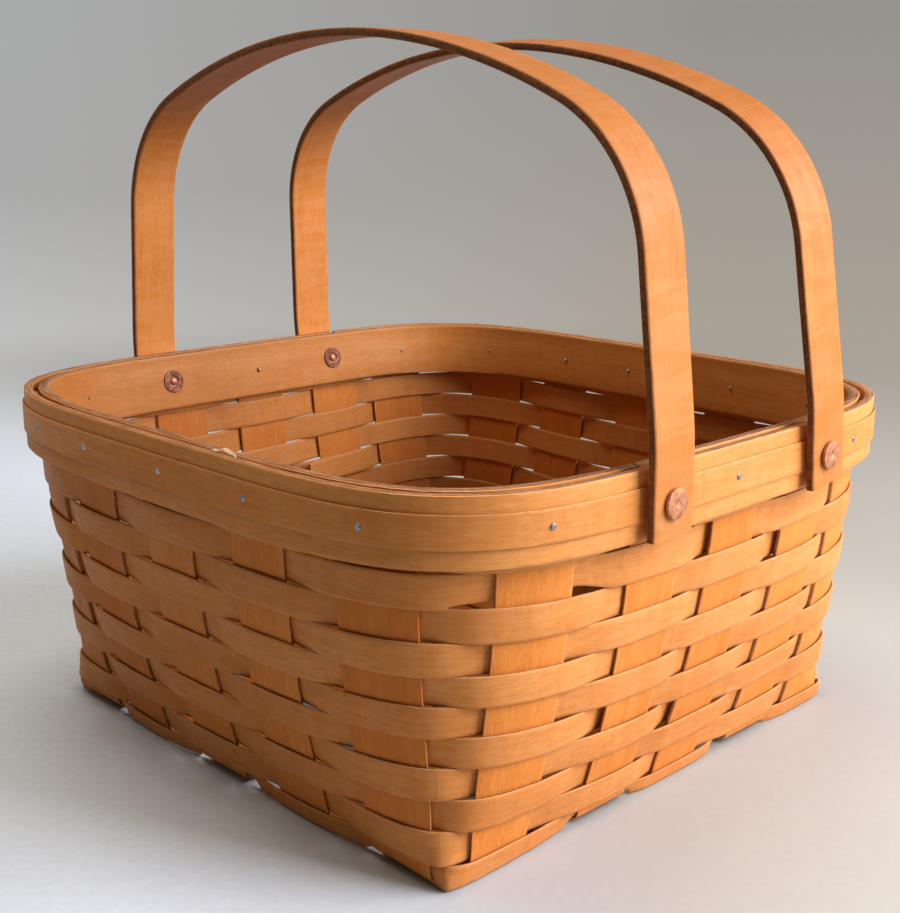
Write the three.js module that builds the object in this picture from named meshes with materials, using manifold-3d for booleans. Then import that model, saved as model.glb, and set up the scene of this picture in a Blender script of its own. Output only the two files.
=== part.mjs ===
import * as THREE from "three";
import { mergeVertices } from "three/addons/utils/BufferGeometryUtils.js";
import Module from "manifold-3d";

// A square woven cake basket with two swing handles.
// Lengths are in millimetres, Z is up, and the basket stands on the plane Z = 0.
// The front wall faces -Y and the right wall faces +X.
// Along a wall, t runs from left to right as seen from outside and is zero at its middle.

// Driving dimensions

// Clearance between two faces that touch each other, and between splints that cross in the weave.
const FIT = 0.3;
const WEAVE_FIT = 0.4;

// Uprights: flat splints, each running down one wall, across the base and up the opposite wall.
// Five stand side by side on each wall, with room beside them at the corners.
const UPRIGHT_W = 29;
const UPRIGHT_T = 1.6;
const CORNER_ROOM = 4.98;

// The gaps between the uprights are not quite even, and differ a little from the base to the rim.
// Across runs from left to right, between the front-to-back uprights; along runs from front to
// back, between the left-to-right ones. The third upright of each set lies off the middle.
const MIDDLE_OFF_ACROSS = 6.5;
const BASE_GAPS_ACROSS = [30, 16.5, 24, 12.7];
const RIM_GAPS_ACROSS = [25.8, 21.5, 19.5, 12];
const MIDDLE_OFF_ALONG = 4.5;
const BASE_GAPS_ALONG = [24.7, 23, 25, 13.7];
const RIM_GAPS_ALONG = [23.5, 27, 21, 16];

// Walls: upright at the rim, and leaning out more and more towards the base. The rim is wider than
// the base by the flare, on each side.
const RIM_TOP = 146;
const WALL_FLARE = 26.22;

// The tops of the uprights are bent out a little to lie against the outer band.
const UPRIGHT_TOP_FLARE = 1.8;
const FLARE_STARTS_DOWN = 15;
const FLARE_ENDS_DOWN = 6;
const UPRIGHT_BELOW_RIM = 0.4;

// Bend of an upright from the base into the wall, at the middle of its thickness.
const BEND_R = 6;

// Weavers: thin hoops that go over and under the uprights, one per row.
const ROWS = 11;
const WEAVER_T = 1.5;
const ROW_GAP = 0.8;
const TOP_ROW_DOWN = 16.25;
const LOWEST_ROW_TOP = 8.25;

// The lowest row reaches this far down, measured round the bend at the base.
const LOWEST_ROW_BOTTOM = 1.4;

// Each row hangs a little lower at the middle of a wall than at its corners.
const ROW_SAG = 2.6;

// A weaver's ends lap on one upright, and each ends this far past the middle of it. It lies flat
// for a little more than an upright's width before it crosses to the other side.
const LAP_PAST = 12;
const FLAT_PAST = 0.75;

// The hidden top row is not lapped: its ends meet with this gap.
const TOP_ROW_GAP = 0.8;

// One lapped end has sprung off the wall: how far it reaches and how far it stands off.
const SPRUNG_PAST = 18;
const SPRUNG_FROM = 6;
const SPRUNG_BY = 2.2;

// Rim: an outer band, a trim strip over its middle, and an inner band. The bands leave some slack
// round the weave, because they are bent stiffer than it.
const BAND_H = 25.7;
const BAND_T = 2.3;
const OUTER_BAND_SLACK = 0.5;
const TRIM_H = 12.7;
const TRIM_T = 1.7;
const TRIM_DOWN = 6;
const INNER_BAND_SLACK_BOTTOM = 1.6;
const INNER_BAND_SLACK_TOP = 2;

// Where the ends of the bands meet, measured along the wall from a handle towards the corner.
const BAND_JOINT_PAST_HANDLE = 7;
const TRIM_JOINT_PAST_HANDLE = -6;
const BAND_JOINT_GAP = 0.6;

// Plan shape: nearly square at the base and well rounded from the top row of weaving upwards.
const BASE_SQUARENESS = 150;
const RIM_SQUARENESS = 4.59;
const ROUNDING_LAG = 0.4;

// Handles: bent strips with straight legs, round shoulders and a gently arched top. Each is
// riveted on over the second upright from its side, a little to the left of its middle.
const HANDLE_W = 22.5;
const HANDLE_T = 3.2;
const LEFT_HANDLE_OFF_UPRIGHT = -5.8;
const RIGHT_HANDLE_OFF_UPRIGHT = -3;
const PIVOT_DOWN = 12.5;
const LEG_BELOW_PIVOT = 12.2;
const LEG_STRAIGHT_TO = 22;
const SHOULDER_UP = 84.6;
const SHOULDER_INSET = 6.7;
const SHOULDER_R = 62;
const ARCH_END_SLOPE = 24;
const LEFT_HANDLE_LEAN = -1.7;
const RIGHT_HANDLE_LEAN = -6.1;

// Rivets and their washers.
const RIVET_R = 2.2;
const RIVET_HEAD_R = 5.6;
const RIVET_HEAD_T = 1.4;
const RIVET_DIMPLE_R = 1.6;
const RIVET_DIMPLE = 0.35;
const WASHER_R = 5.4;
const WASHER_T = 1.3;
const PEEN_R = 2.9;
const PEEN_T = 0.9;

// Brads: small nails through the rim, clinched on the inside. One is driven into each upright that
// has no rivet, this far to the right of its middle as seen from outside, wall by wall.
const BRADS_OFF = {
  front: [-4, 0, -10, 0, -13],
  right: [3, -2, 5, -3, 4],
  back: [-3, 0, 4, 0, 2],
  left: [8, 5.5, 7, 2, 4],
};
const BRAD_R = 0.65;
const BRAD_HEAD_R = 1.5;
const BRAD_HEAD_T = 0.7;
const BRAD_TIP = 1.2;

const wasm = await Module();
wasm.setup();

// Values worked out from the driving dimensions

const TURN = Math.PI / 180;
const WALL_NAMES = ["front", "right", "back", "left"];
const WALLS = WALL_NAMES.length;
const PER_WALL = BASE_GAPS_ACROSS.length + 1;
const COLUMNS = WALLS * PER_WALL;

// Places of five uprights side by side, with the third of them at middle.
function placesOf(middle, gaps) {
  const places = [middle];
  for (let i = 1; i >= 0; i--) places.unshift(places[0] - UPRIGHT_W - gaps[i]);
  for (let i = 2; i < gaps.length; i++) places.push(places[i] + UPRIGHT_W + gaps[i]);
  return places;
}

const BASE_ACROSS = placesOf(MIDDLE_OFF_ACROSS, BASE_GAPS_ACROSS);
const RIM_ACROSS = placesOf(MIDDLE_OFF_ACROSS, RIM_GAPS_ACROSS);
const BASE_ALONG = placesOf(MIDDLE_OFF_ALONG, BASE_GAPS_ALONG);
const RIM_ALONG = placesOf(MIDDLE_OFF_ALONG, RIM_GAPS_ALONG);
const FURTHEST_UPRIGHT = Math.max(...[...BASE_ACROSS, ...BASE_ALONG].map(Math.abs));

// Place of upright i of a wall at height h, counted from the wall's left end as seen from outside.
function placeOnWall(wall, i, h) {
  const up = THREE.MathUtils.clamp(h / RIM_TOP, 0, 1);
  const facing = wall % WALLS;
  const [base, rim] = facing % 2 === 0 ? [BASE_ACROSS, RIM_ACROSS] : [BASE_ALONG, RIM_ALONG];
  const j = facing < 2 ? i : PER_WALL - 1 - i;
  return (base[j] + (rim[j] - base[j]) * up) * (facing < 2 ? 1 : -1);
}
const SWING = (UPRIGHT_T + WEAVER_T) / 2 + WEAVE_FIT;
const WEAVE_REACH = SWING + WEAVER_T / 2;
const LAP = WEAVER_T + FIT;
const PLATEAU = UPRIGHT_W / 2 + FLAT_PAST;
const BASE_Z = UPRIGHT_T + FIT / 2;
const BASE_SWING = (UPRIGHT_T + FIT) / 2;
const TOP_ROW_TOP = RIM_TOP - TOP_ROW_DOWN;
const ROW_PITCH = (TOP_ROW_TOP - LOWEST_ROW_TOP) / (ROWS - 1);
const FLARE_FROM = RIM_TOP - FLARE_STARTS_DOWN;
const FLARE_TO = RIM_TOP - FLARE_ENDS_DOWN;
const BAND_BOTTOM = RIM_TOP - BAND_H;
const TRIM_TOP = RIM_TOP - TRIM_DOWN;
const TRIM_BOTTOM = TRIM_TOP - TRIM_H;
const PIVOT_Z = RIM_TOP - PIVOT_DOWN;
const LEFT_HANDLE_AT = placeOnWall(0, 1, PIVOT_Z) + LEFT_HANDLE_OFF_UPRIGHT;
const RIGHT_HANDLE_AT = placeOnWall(0, 3, PIVOT_Z) + RIGHT_HANDLE_OFF_UPRIGHT;

// Half widths of the plan, from the base outwards.
const WALL_HALF_AT_BASE = FURTHEST_UPRIGHT + UPRIGHT_W / 2 + CORNER_ROOM;
const WALL_HALF_AT_RIM = WALL_HALF_AT_BASE + WALL_FLARE;
const OUTER_BAND_HALF = WALL_HALF_AT_RIM + WEAVE_REACH + OUTER_BAND_SLACK + BAND_T;
const TRIM_HALF = OUTER_BAND_HALF + FIT + TRIM_T;
const LEG_INNER_Y = TRIM_HALF + FIT;
const LEG_Y = LEG_INNER_Y + HANDLE_T / 2;
const SHOULDER_IN = LEG_Y - SHOULDER_INSET;

// Wall profile, in height h along the wall

function wallHalfAt(h) {
  return WALL_HALF_AT_RIM - WALL_FLARE * ((RIM_TOP - h) / RIM_TOP) ** 2;
}

function wallLeanAt(h) {
  return Math.atan((2 * WALL_FLARE * (RIM_TOP - h)) / RIM_TOP ** 2);
}

// Height at which the bend at the base runs into the wall.
let bendTop = BASE_Z + BEND_R;
for (let i = 0; i < 30; i++) {
  bendTop = BASE_Z + BEND_R * (1 - Math.sin(wallLeanAt(bendTop)));
}
const BEND_TOP = bendTop;
const BEND_LEAN = wallLeanAt(BEND_TOP);
const BEND_FOOT = BEND_TOP - BEND_R * (Math.PI / 2 - BEND_LEAN);
const BEND_CENTRE = wallHalfAt(BEND_TOP) - BEND_R * Math.cos(BEND_LEAN);

// Half width, height and lean of the wall at h; below BEND_TOP, h is measured round the bend.
function profile(h) {
  if (h >= BEND_TOP) {
    return { half: wallHalfAt(h), z: h, lean: wallLeanAt(h) };
  }
  const lean = BEND_LEAN + (BEND_TOP - h) / BEND_R;
  const half = BEND_CENTRE + BEND_R * Math.cos(lean);
  return { half, z: BASE_Z + BEND_R * (1 - Math.sin(lean)), lean };
}

function squareness(h) {
  const full = TOP_ROW_TOP - ROW_PITCH;
  const up = THREE.MathUtils.clamp((h - BEND_TOP) / (full - BEND_TOP), 0, 1);
  const flat = 1 / BASE_SQUARENESS;
  const rounded = (up * (1 + ROUNDING_LAG)) / (up + ROUNDING_LAG);
  return 1 / (flat + (1 / RIM_SQUARENESS - flat) * rounded);
}

// How far out from the middle the wall line is at t, for a plan of this half width.
function planDepth(half, n, t) {
  return half * (1 - Math.min(1, Math.abs(t / half)) ** n) ** (1 / n);
}

// Turns a position given on a wall into a point of the basket.
function onWall(wall, t, depth, z) {
  const place = [
    [t, -depth],
    [depth, t],
    [-t, depth],
    [-depth, -t],
  ][wall % WALLS];
  return new THREE.Vector3(place[0], place[1], z);
}

// A point of the wall at t and h, moved out by off square to the wall.
function wallPoint(wall, t, h, off) {
  const p = profile(h);
  const depth = planDepth(p.half, squareness(h), t);
  const grow = (p.half + off * Math.cos(p.lean)) / p.half;
  return onWall(wall, t * grow, depth * grow, p.z - off * Math.sin(p.lean));
}

// The same, with the position given as an angle from the middle of the wall.
function wallPointAtAngle(wall, angle, h, off) {
  const p = profile(h);
  const n = squareness(h);
  const reach = p.half / (Math.abs(Math.cos(angle)) ** n + Math.abs(Math.sin(angle)) ** n) ** (1 / n);
  return wallPoint(wall, reach * Math.sin(angle), h, off);
}

// Direction square to the rim's plan line at t, for a plan of this half width.
function rimNormal(wall, half, t) {
  const n = RIM_SQUARENESS;
  const depth = planDepth(half, n, t);
  const a = Math.sign(t) * Math.abs(t / half) ** (n - 1);
  const b = (depth / half) ** (n - 1);
  const size = Math.hypot(a, b);
  return onWall(wall, a / size, b / size, 0);
}

// The outer face of the inner band: clear of the weave at its bottom, and of the uprights at its top.
const INNER_BAND_HALF_BOTTOM = wallHalfAt(BAND_BOTTOM) - WEAVE_REACH - INNER_BAND_SLACK_BOTTOM;
const INNER_BAND_HALF_TOP =
  WALL_HALF_AT_RIM + UPRIGHT_TOP_FLARE - UPRIGHT_T / 2 - INNER_BAND_SLACK_TOP;

function innerBandHalfAt(z) {
  const up = (z - BAND_BOTTOM) / BAND_H;
  return INNER_BAND_HALF_BOTTOM + (INNER_BAND_HALF_TOP - INNER_BAND_HALF_BOTTOM) * up;
}

// A washer lies against the inner face of the inner band, which is nearest at its lower outer edge.
const nearestHalf = innerBandHalfAt(PIVOT_Z - WASHER_R) - BAND_T;
const furthestWasher = Math.max(-LEFT_HANDLE_AT, RIGHT_HANDLE_AT) + WASHER_R;
const WASHER_FACE_AT = planDepth(nearestHalf, RIM_SQUARENESS, furthestWasher) - FIT;

// Solids

// A strip built from sections. Each section holds matching points on the outer and inner face.
// Each four-sided patch is split along its shorter diagonal, so that touching strips bend alike.
function strip(outer, inner) {
  const across = outer[0].length;
  const ring = 2 * across;
  const points = [];
  for (let i = 0; i < outer.length; i++) {
    points.push(...outer[i], ...[...inner[i]].reverse());
  }
  const faces = [];
  const quad = (a, b, c, d) => {
    const straight = points[a].distanceTo(points[c]) <= points[b].distanceTo(points[d]);
    if (straight) faces.push(a, b, c, a, c, d);
    else faces.push(a, b, d, b, c, d);
  };
  for (let i = 0; i + 1 < outer.length; i++) {
    for (let j = 0; j < ring; j++) {
      const k = (j + 1) % ring;
      quad(i * ring + j, i * ring + k, (i + 1) * ring + k, (i + 1) * ring + j);
    }
  }
  const last = (outer.length - 1) * ring;
  for (let j = 0; j + 1 < across; j++) {
    quad(j, ring - 1 - j, ring - 2 - j, j + 1);
    quad(last + j, last + j + 1, last + ring - 2 - j, last + ring - 1 - j);
  }
  const geometry = new THREE.BufferGeometry().setFromPoints(points);
  geometry.setIndex(signedVolume(points, faces) > 0 ? faces : flipped(faces));
  return geometry;
}

function signedVolume(points, faces) {
  let six = 0;
  for (let i = 0; i < faces.length; i += 3) {
    const [a, b, c] = [points[faces[i]], points[faces[i + 1]], points[faces[i + 2]]];
    six += a.dot(new THREE.Vector3().crossVectors(b, c));
  }
  return six / 6;
}

function flipped(faces) {
  const out = [];
  for (let i = 0; i < faces.length; i += 3) {
    out.push(faces[i], faces[i + 2], faces[i + 1]);
  }
  return out;
}

function toSolid(geometry) {
  const bare = geometry.clone();
  bare.deleteAttribute("normal");
  bare.deleteAttribute("uv");
  const merged = mergeVertices(bare);
  return new wasm.Manifold(
    new wasm.Mesh({
      numProp: 3,
      vertProperties: new Float32Array(merged.getAttribute("position").array),
      triVerts: new Uint32Array(merged.index.array),
    }),
  );
}

function toGeometry(solid) {
  const made = solid.getMesh();
  const position = new Float32Array(made.numVert * 3);
  for (let i = 0; i < made.numVert; i++) {
    position.set(made.vertProperties.subarray(i * made.numProp, i * made.numProp + 3), i * 3);
  }
  const geometry = new THREE.BufferGeometry();
  geometry.setAttribute("position", new THREE.BufferAttribute(position, 3));
  geometry.setIndex([...made.triVerts]);
  return geometry;
}

function turnFromY(along) {
  return new THREE.Quaternion().setFromUnitVectors(new THREE.Vector3(0, 1, 0), along);
}

// Drills round holes through a piece. A hole is a middle point, a direction, a radius and a length.
function drill(geometry, holes) {
  let solid = toSolid(geometry);
  for (const hole of holes) {
    const bit = new THREE.CylinderGeometry(hole.radius, hole.radius, hole.length, hole.sides);
    bit.applyQuaternion(turnFromY(hole.along));
    bit.translate(hole.at.x, hole.at.y, hole.at.z);
    solid = solid.subtract(toSolid(bit));
  }
  return toGeometry(solid);
}

// A turned piece: a closed profile of [radius, distance] pairs, spun about an axis.
function turned(profilePoints, sides, at, along) {
  const outline = profilePoints.map(([r, d]) => new THREE.Vector2(r, d));
  const lathe = new THREE.LatheGeometry(outline, sides);
  lathe.applyQuaternion(turnFromY(along));
  lathe.translate(at.x, at.y, at.z);
  return lathe;
}

// Where the fasteners go

// Every hole runs well through the rim on both sides.
const HOLE_LENGTH = 44;
const RIVET_SIDES = 14;
const BRAD_SIDES = 6;
const rivetHoles = [];
const rivets = [];
for (const [side, x] of [["left", LEFT_HANDLE_AT], ["right", RIGHT_HANDLE_AT]]) {
  for (const [end, sign] of [["front", -1], ["back", 1]]) {
    const out = new THREE.Vector3(0, sign, 0);
    rivets.push({ name: side + "_" + end, at: new THREE.Vector3(x, 0, PIVOT_Z), out, side });
    rivetHoles.push({
      at: new THREE.Vector3(x, sign * LEG_INNER_Y, PIVOT_Z),
      along: out,
      radius: RIVET_R + FIT,
      length: HOLE_LENGTH,
      sides: RIVET_SIDES,
    });
  }
}

// A brad is driven through every upright, except where a rivet takes its place.
const brads = [];
const BRAD_Z = (TRIM_BOTTOM + TRIM_TOP) / 2;
WALL_NAMES.forEach((wallName, wall) => {
  for (let i = 0; i < PER_WALL; i++) {
    const riveted = wall % 2 === 0 && i % 2 === 1;
    if (riveted) continue;
    const t = placeOnWall(wall, i, BRAD_Z) + BRADS_OFF[wallName][i];
    const out = rimNormal(wall, TRIM_HALF, t);
    const depth = planDepth(TRIM_HALF, RIM_SQUARENESS, t);
    const at = onWall(wall, t, depth, BRAD_Z);
    const stretch = (at.x * out.x + at.y * out.y) / TRIM_HALF;
    brads.push({ name: wallName + "_" + (i + 1), at, out, stretch });
  }
});
const bradHoles = brads.map((b) => ({
  at: b.at.clone(),
  along: b.out,
  radius: BRAD_R + FIT,
  length: HOLE_LENGTH,
  sides: BRAD_SIDES,
}));
const rimHoles = [...rivetHoles, ...bradHoles];

// Uprights

// Heights of the sections up one wall, from the rim down to the foot of the bend.
const BEND_STEPS = 4;
const WALL_STEPS = 9;
const upHeights = [RIM_TOP - UPRIGHT_BELOW_RIM, FLARE_TO, (FLARE_FROM + FLARE_TO) / 2];
// The steps get closer together towards the base, where the corners sharpen.
for (let i = WALL_STEPS; i > 0; i--) {
  upHeights.push(BEND_TOP + (FLARE_FROM - BEND_TOP) * (i / WALL_STEPS) ** 1.6);
}
for (let i = 0; i <= BEND_STEPS; i++) {
  upHeights.push(BEND_TOP + ((BEND_FOOT - BEND_TOP) * i) / BEND_STEPS);
}

function flareAt(h) {
  const u = THREE.MathUtils.clamp((h - FLARE_FROM) / (FLARE_TO - FLARE_FROM), 0, 1);
  return UPRIGHT_TOP_FLARE * u * u * (3 - 2 * u);
}

// Upright i of its set; it lies on top of the crossing splint j where above(j) is true.
function upright(i, startWall, above) {
  const outermost = i === 0 || i === PER_WALL - 1;
  const across = outermost ? [-0.5, 0, 0.5] : [-0.5, 0.5];
  const [basePlaces, crossing] =
    startWall === 0 ? [BASE_ACROSS, BASE_ALONG] : [BASE_ALONG, BASE_ACROSS];
  const outer = [];
  const inner = [];
  const endWall = startWall + 2;
  // The start wall is seen from outside with t along +place, the end wall the other way round.
  const wallSection = (wall, direction, h, levelShift) => {
    const fade = Math.max(0, 1 - (h - BEND_FOOT) / 3);
    const place = placeOnWall(wall, direction > 0 ? i : PER_WALL - 1 - i, h);
    for (const [list, off] of [[outer, UPRIGHT_T / 2], [inner, -UPRIGHT_T / 2]]) {
      list.push(
        across.map((a) => {
          const p = wallPoint(wall, place + direction * a * UPRIGHT_W, h, off + flareAt(h));
          p.z += levelShift * fade;
          return p;
        }),
      );
    }
  };
  const baseSection = (along, level) => {
    for (const [list, off] of [[outer, -UPRIGHT_T / 2], [inner, UPRIGHT_T / 2]]) {
      list.push(
        across.map((a) => {
          const s = basePlaces[i] + a * UPRIGHT_W;
          const z = BASE_Z + level + off;
          return startWall === 0 ? new THREE.Vector3(s, along, z) : new THREE.Vector3(along, s, z);
        }),
      );
    }
  };
  const level = (j) => (above(j) ? BASE_SWING : -BASE_SWING);
  const direction = startWall === 0 ? 1 : -1;
  for (const h of upHeights) wallSection(startWall, direction, h, level(0));
  const half = UPRIGHT_W / 2 + 0.35;
  crossing.forEach((t, j) => {
    if (j > 0) baseSection(t - half, level(j));
    if (j < PER_WALL - 1) baseSection(t + half, level(j));
  });
  for (const h of [...upHeights].reverse()) wallSection(endWall, -direction, h, level(PER_WALL - 1));
  return strip(outer, inner);
}

// Weavers

// How much higher a row runs at an angle from the middle of the wall.
function rise(h, angle) {
  const s = THREE.MathUtils.clamp(h / RIM_TOP, 0, 1);
  return ROW_SAG * 4 * s * (1 - s) * Math.sin(2 * angle) ** 4;
}

function angleOf(t, h) {
  const p = profile(h);
  return Math.atan2(t, planDepth(p.half, squareness(h), t));
}

// The column, counted from the left end of the front wall, at which each row's ends lap.
const LAP_COLUMNS = [17, 2, 3, 16, 11, 18, 1, 2, 17, 16, 3];
// One end of this row has sprung off the wall.
const SPRUNG_ROW = 4;

// Stations of a weaver: a wall, an upright of it, the distance past the upright's middle and the
// distance out from the wall line. At a corner, turn is the share of the way round to its middle.
function weaverStations(row) {
  const first = LAP_COLUMNS[row];
  const stations = [];
  const sideOf = (column) => ((row + column) % 2 === 0 ? SWING : -SWING);
  for (let step = 0; step <= COLUMNS; step++) {
    const column = (first + step) % COLUMNS;
    const wall = Math.floor(column / PER_WALL);
    const i = column % PER_WALL;
    const off = sideOf(column);
    const start = step === 0;
    const end = step === COLUMNS;
    if (row === 0 && (start || end)) {
      // The hidden top row meets end to end behind its upright.
      const gap = TOP_ROW_GAP / 2;
      if (start) stations.push({ wall, i, past: gap, off }, { wall, i, past: PLATEAU, off });
      if (end) stations.push({ wall, i, past: -PLATEAU, off }, { wall, i, past: -gap, off });
      continue;
    }
    if (end) {
      stations.push({ wall, i, past: -PLATEAU, off: off - LAP });
      if (row === SPRUNG_ROW) {
        stations.push({ wall, i, past: SPRUNG_FROM, off: off - LAP });
        stations.push({ wall, i, past: SPRUNG_PAST, off: off - LAP - SPRUNG_BY });
      } else {
        stations.push({ wall, i, past: LAP_PAST, off: off - LAP });
      }
      continue;
    }
    const last = i === PER_WALL - 1;
    stations.push({ wall, i, past: start ? -LAP_PAST : -PLATEAU, off });
    if (i === 0 || last) stations.push({ wall, i, past: 0, off });
    stations.push({ wall, i, past: PLATEAU, off });
    if (last) {
      stations.push({ wall, i, past: PLATEAU, turn: 0.5, off: off * 0.6 });
      stations.push({ wall, i, past: PLATEAU, turn: 1, off: 0 });
      stations.push({ wall: wall + 1, i: 0, past: -PLATEAU, turn: 0.5, off: -off * 0.6 });
    }
  }
  return stations;
}

function weaver(row) {
  const top = TOP_ROW_TOP - row * ROW_PITCH;
  const lowest = row === ROWS - 1;
  const bottom = lowest ? LOWEST_ROW_BOTTOM : top - ROW_PITCH + ROW_GAP;
  const levels = row >= ROWS - 2 ? [0, 0.5, 1] : [0, 1];
  const outer = [];
  const inner = [];
  for (const station of weaverStations(row)) {
    for (const [list, side] of [[outer, 0.5], [inner, -0.5]]) {
      list.push(
        levels.map((level) => {
          const flat = bottom + (top - bottom) * level;
          const t = placeOnWall(station.wall, station.i, flat) + station.past;
          let angle = angleOf(t, flat);
          if (station.turn) {
            angle += (Math.sign(station.past) * Math.PI / 4 - angle) * station.turn;
          }
          const h = flat + rise(flat, angle);
          return wallPointAtAngle(station.wall, angle, h, station.off + side * WEAVER_T);
        }),
      );
    }
  }
  return strip(outer, inner);
}

// Rim bands

// A band goes round in even steps of this angle.
const BAND_STEP = 6;

// The band's angle at t along a wall, in degrees from the middle of that wall.
function bandAngle(half, t) {
  return (Math.sign(t) * Math.asin(Math.abs(t / half) ** (RIM_SQUARENESS / 2))) / TURN;
}

// A band round the rim, whose two ends meet at t on one wall.
function band(bottom, top, outerBottom, outerTop, thickness, wallOfJoint, t) {
  const power = 2 / RIM_SQUARENESS;
  const from = wallOfJoint * 90 + bandAngle(outerTop, t + BAND_JOINT_GAP / 2);
  const to = (wallOfJoint + WALLS) * 90 + bandAngle(outerTop, t - BAND_JOINT_GAP / 2);
  const angles = [from];
  for (let a = Math.ceil(from / BAND_STEP + 0.2) * BAND_STEP; a < to - 1; a += BAND_STEP) {
    angles.push(a);
  }
  angles.push(to);
  const outer = [];
  const inner = [];
  for (const angle of angles) {
    const wall = Math.floor((angle + 45) / 90);
    const a = (angle - wall * 90) * TURN;
    const across = Math.sign(Math.sin(a)) * Math.abs(Math.sin(a)) ** power;
    const out = Math.abs(Math.cos(a)) ** power;
    const put = (half, z) => onWall(wall, across * half, out * half, z);
    outer.push([put(outerBottom, bottom), put(outerTop, top)]);
    inner.push([put(outerBottom - thickness, bottom), put(outerTop - thickness, top)]);
  }
  return strip(outer, inner);
}

// Handles

// Half of the handle's middle line, as [y, height over the pivot] with its direction angle.
function handleHalfLine() {
  const legTilt = Math.atan((LEG_Y - SHOULDER_IN) / (SHOULDER_UP - LEG_STRAIGHT_TO));
  const line = [
    { y: LEG_Y, u: -LEG_BELOW_PIVOT, face: 0 },
    { y: LEG_Y, u: LEG_STRAIGHT_TO, face: legTilt / 2 },
  ];
  const centreY = SHOULDER_IN - SHOULDER_R * Math.cos(legTilt);
  const centreU = SHOULDER_UP - SHOULDER_R * Math.sin(legTilt);
  const shoulderEnd = Math.PI / 2 - ARCH_END_SLOPE * TURN;
  const steps = 9;
  for (let i = 0; i <= steps; i++) {
    const face = legTilt + ((shoulderEnd - legTilt) * i) / steps;
    line.push({
      y: centreY + SHOULDER_R * Math.cos(face),
      u: centreU + SHOULDER_R * Math.sin(face),
      face,
    });
  }
  const end = line[line.length - 1];
  const archR = end.y / Math.sin(ARCH_END_SLOPE * TURN);
  const archCentreU = end.u - archR * Math.cos(ARCH_END_SLOPE * TURN);
  const archSteps = 5;
  for (let i = 1; i <= archSteps; i++) {
    const face = shoulderEnd + ((Math.PI / 2 - shoulderEnd) * i) / archSteps;
    line.push({ y: archR * Math.cos(face), u: archCentreU + archR * Math.sin(face), face });
  }
  return line;
}

function handle(x, lean) {
  const half = handleHalfLine();
  const back = half.map((p) => ({ y: p.y, u: p.u, ny: Math.cos(p.face), nu: Math.sin(p.face) }));
  const front = back.map((p) => ({ y: -p.y, u: p.u, ny: -p.ny, nu: p.nu }));
  const line = [...front, ...back.slice(0, -1).reverse()];
  const outer = [];
  const inner = [];
  for (const p of line) {
    for (const [list, off] of [[outer, HANDLE_T / 2], [inner, -HANDLE_T / 2]]) {
      const y = p.y + off * p.ny;
      const u = p.u + off * p.nu;
      list.push([-HANDLE_W / 2, HANDLE_W / 2].map((w) => new THREE.Vector3(w, y, u)));
    }
  }
  const geometry = strip(outer, inner);
  geometry.rotateY(lean * TURN);
  geometry.translate(x, 0, PIVOT_Z);
  return drill(
    geometry,
    rivetHoles.filter((h) => h.at.x === x),
  );
}

// Rivets, washers and brads

function rivet(at, out) {
  const under = LEG_INNER_Y + HANDLE_T + FIT;
  const face = under + RIVET_HEAD_T;
  const peenFrom = WASHER_FACE_AT - WASHER_T - FIT;
  const profilePoints = [
    [0, peenFrom - PEEN_T],
    [PEEN_R * 0.7, peenFrom - PEEN_T],
    [PEEN_R, peenFrom - PEEN_T * 0.3],
    [PEEN_R, peenFrom],
    [RIVET_R, peenFrom],
    [RIVET_R, under],
    [RIVET_HEAD_R, under],
    [RIVET_HEAD_R, face - 0.5],
    [RIVET_HEAD_R - 0.6, face],
    [RIVET_DIMPLE_R, face],
    [RIVET_DIMPLE_R * 0.5, face - RIVET_DIMPLE],
    [0, face - RIVET_DIMPLE],
  ];
  return turned(profilePoints, RIVET_SIDES, at, out);
}

function washer(at, out) {
  const face = WASHER_FACE_AT;
  const profilePoints = [
    [RIVET_R + FIT, face - WASHER_T],
    [WASHER_R, face - WASHER_T],
    [WASHER_R, face],
    [RIVET_R + FIT, face],
    [RIVET_R + FIT, face - WASHER_T],
  ];
  return turned(profilePoints, RIVET_SIDES, at, out);
}

function brad(place) {
  const throughRim = TRIM_HALF - (innerBandHalfAt(place.at.z) - BAND_T);
  const inside = throughRim * place.stretch + BRAD_TIP;
  const profilePoints = [
    [0, -inside],
    [BRAD_R, -inside],
    [BRAD_R, FIT],
    [BRAD_HEAD_R, FIT],
    [BRAD_HEAD_R * 0.7, FIT + BRAD_HEAD_T * 0.7],
    [0, FIT + BRAD_HEAD_T],
  ];
  return turned(profilePoints, BRAD_SIDES, place.at, place.out);
}

// Assembly

const group = new THREE.Group();
group.name = "cake_basket";

const WOOD_UPRIGHT = 0xd98a45;
const WOOD_WEAVER = 0xdd9a5e;
const WOOD_BAND = 0xdb9450;
const WOOD_HANDLE = 0xd88f4c;
const COPPER = 0xb0694c;
const STEEL = 0x9a9ea2;

function add(name, geometry, colour, metalness = 0, roughness = 0.6) {
  const material = new THREE.MeshStandardMaterial({ color: colour, metalness, roughness });
  const mesh = new THREE.Mesh(geometry, material);
  mesh.name = name;
  group.add(mesh);
}

// Front-to-back uprights pass over the crossing ones where their numbers add up to an odd sum.
for (let i = 0; i < PER_WALL; i++) {
  const geometry = upright(i, 0, (j) => (i + j) % 2 === 1);
  add("upright_front_back_" + (i + 1), drill(geometry, rimHoles), WOOD_UPRIGHT);
}
for (let i = 0; i < PER_WALL; i++) {
  const geometry = upright(i, 3, (j) => (i + j) % 2 === 0);
  add("upright_left_right_" + (i + 1), drill(geometry, rimHoles), WOOD_UPRIGHT);
}

for (let row = 0; row < ROWS; row++) {
  add("weaver_" + String(row + 1).padStart(2, "0"), weaver(row), WOOD_WEAVER);
}

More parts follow.
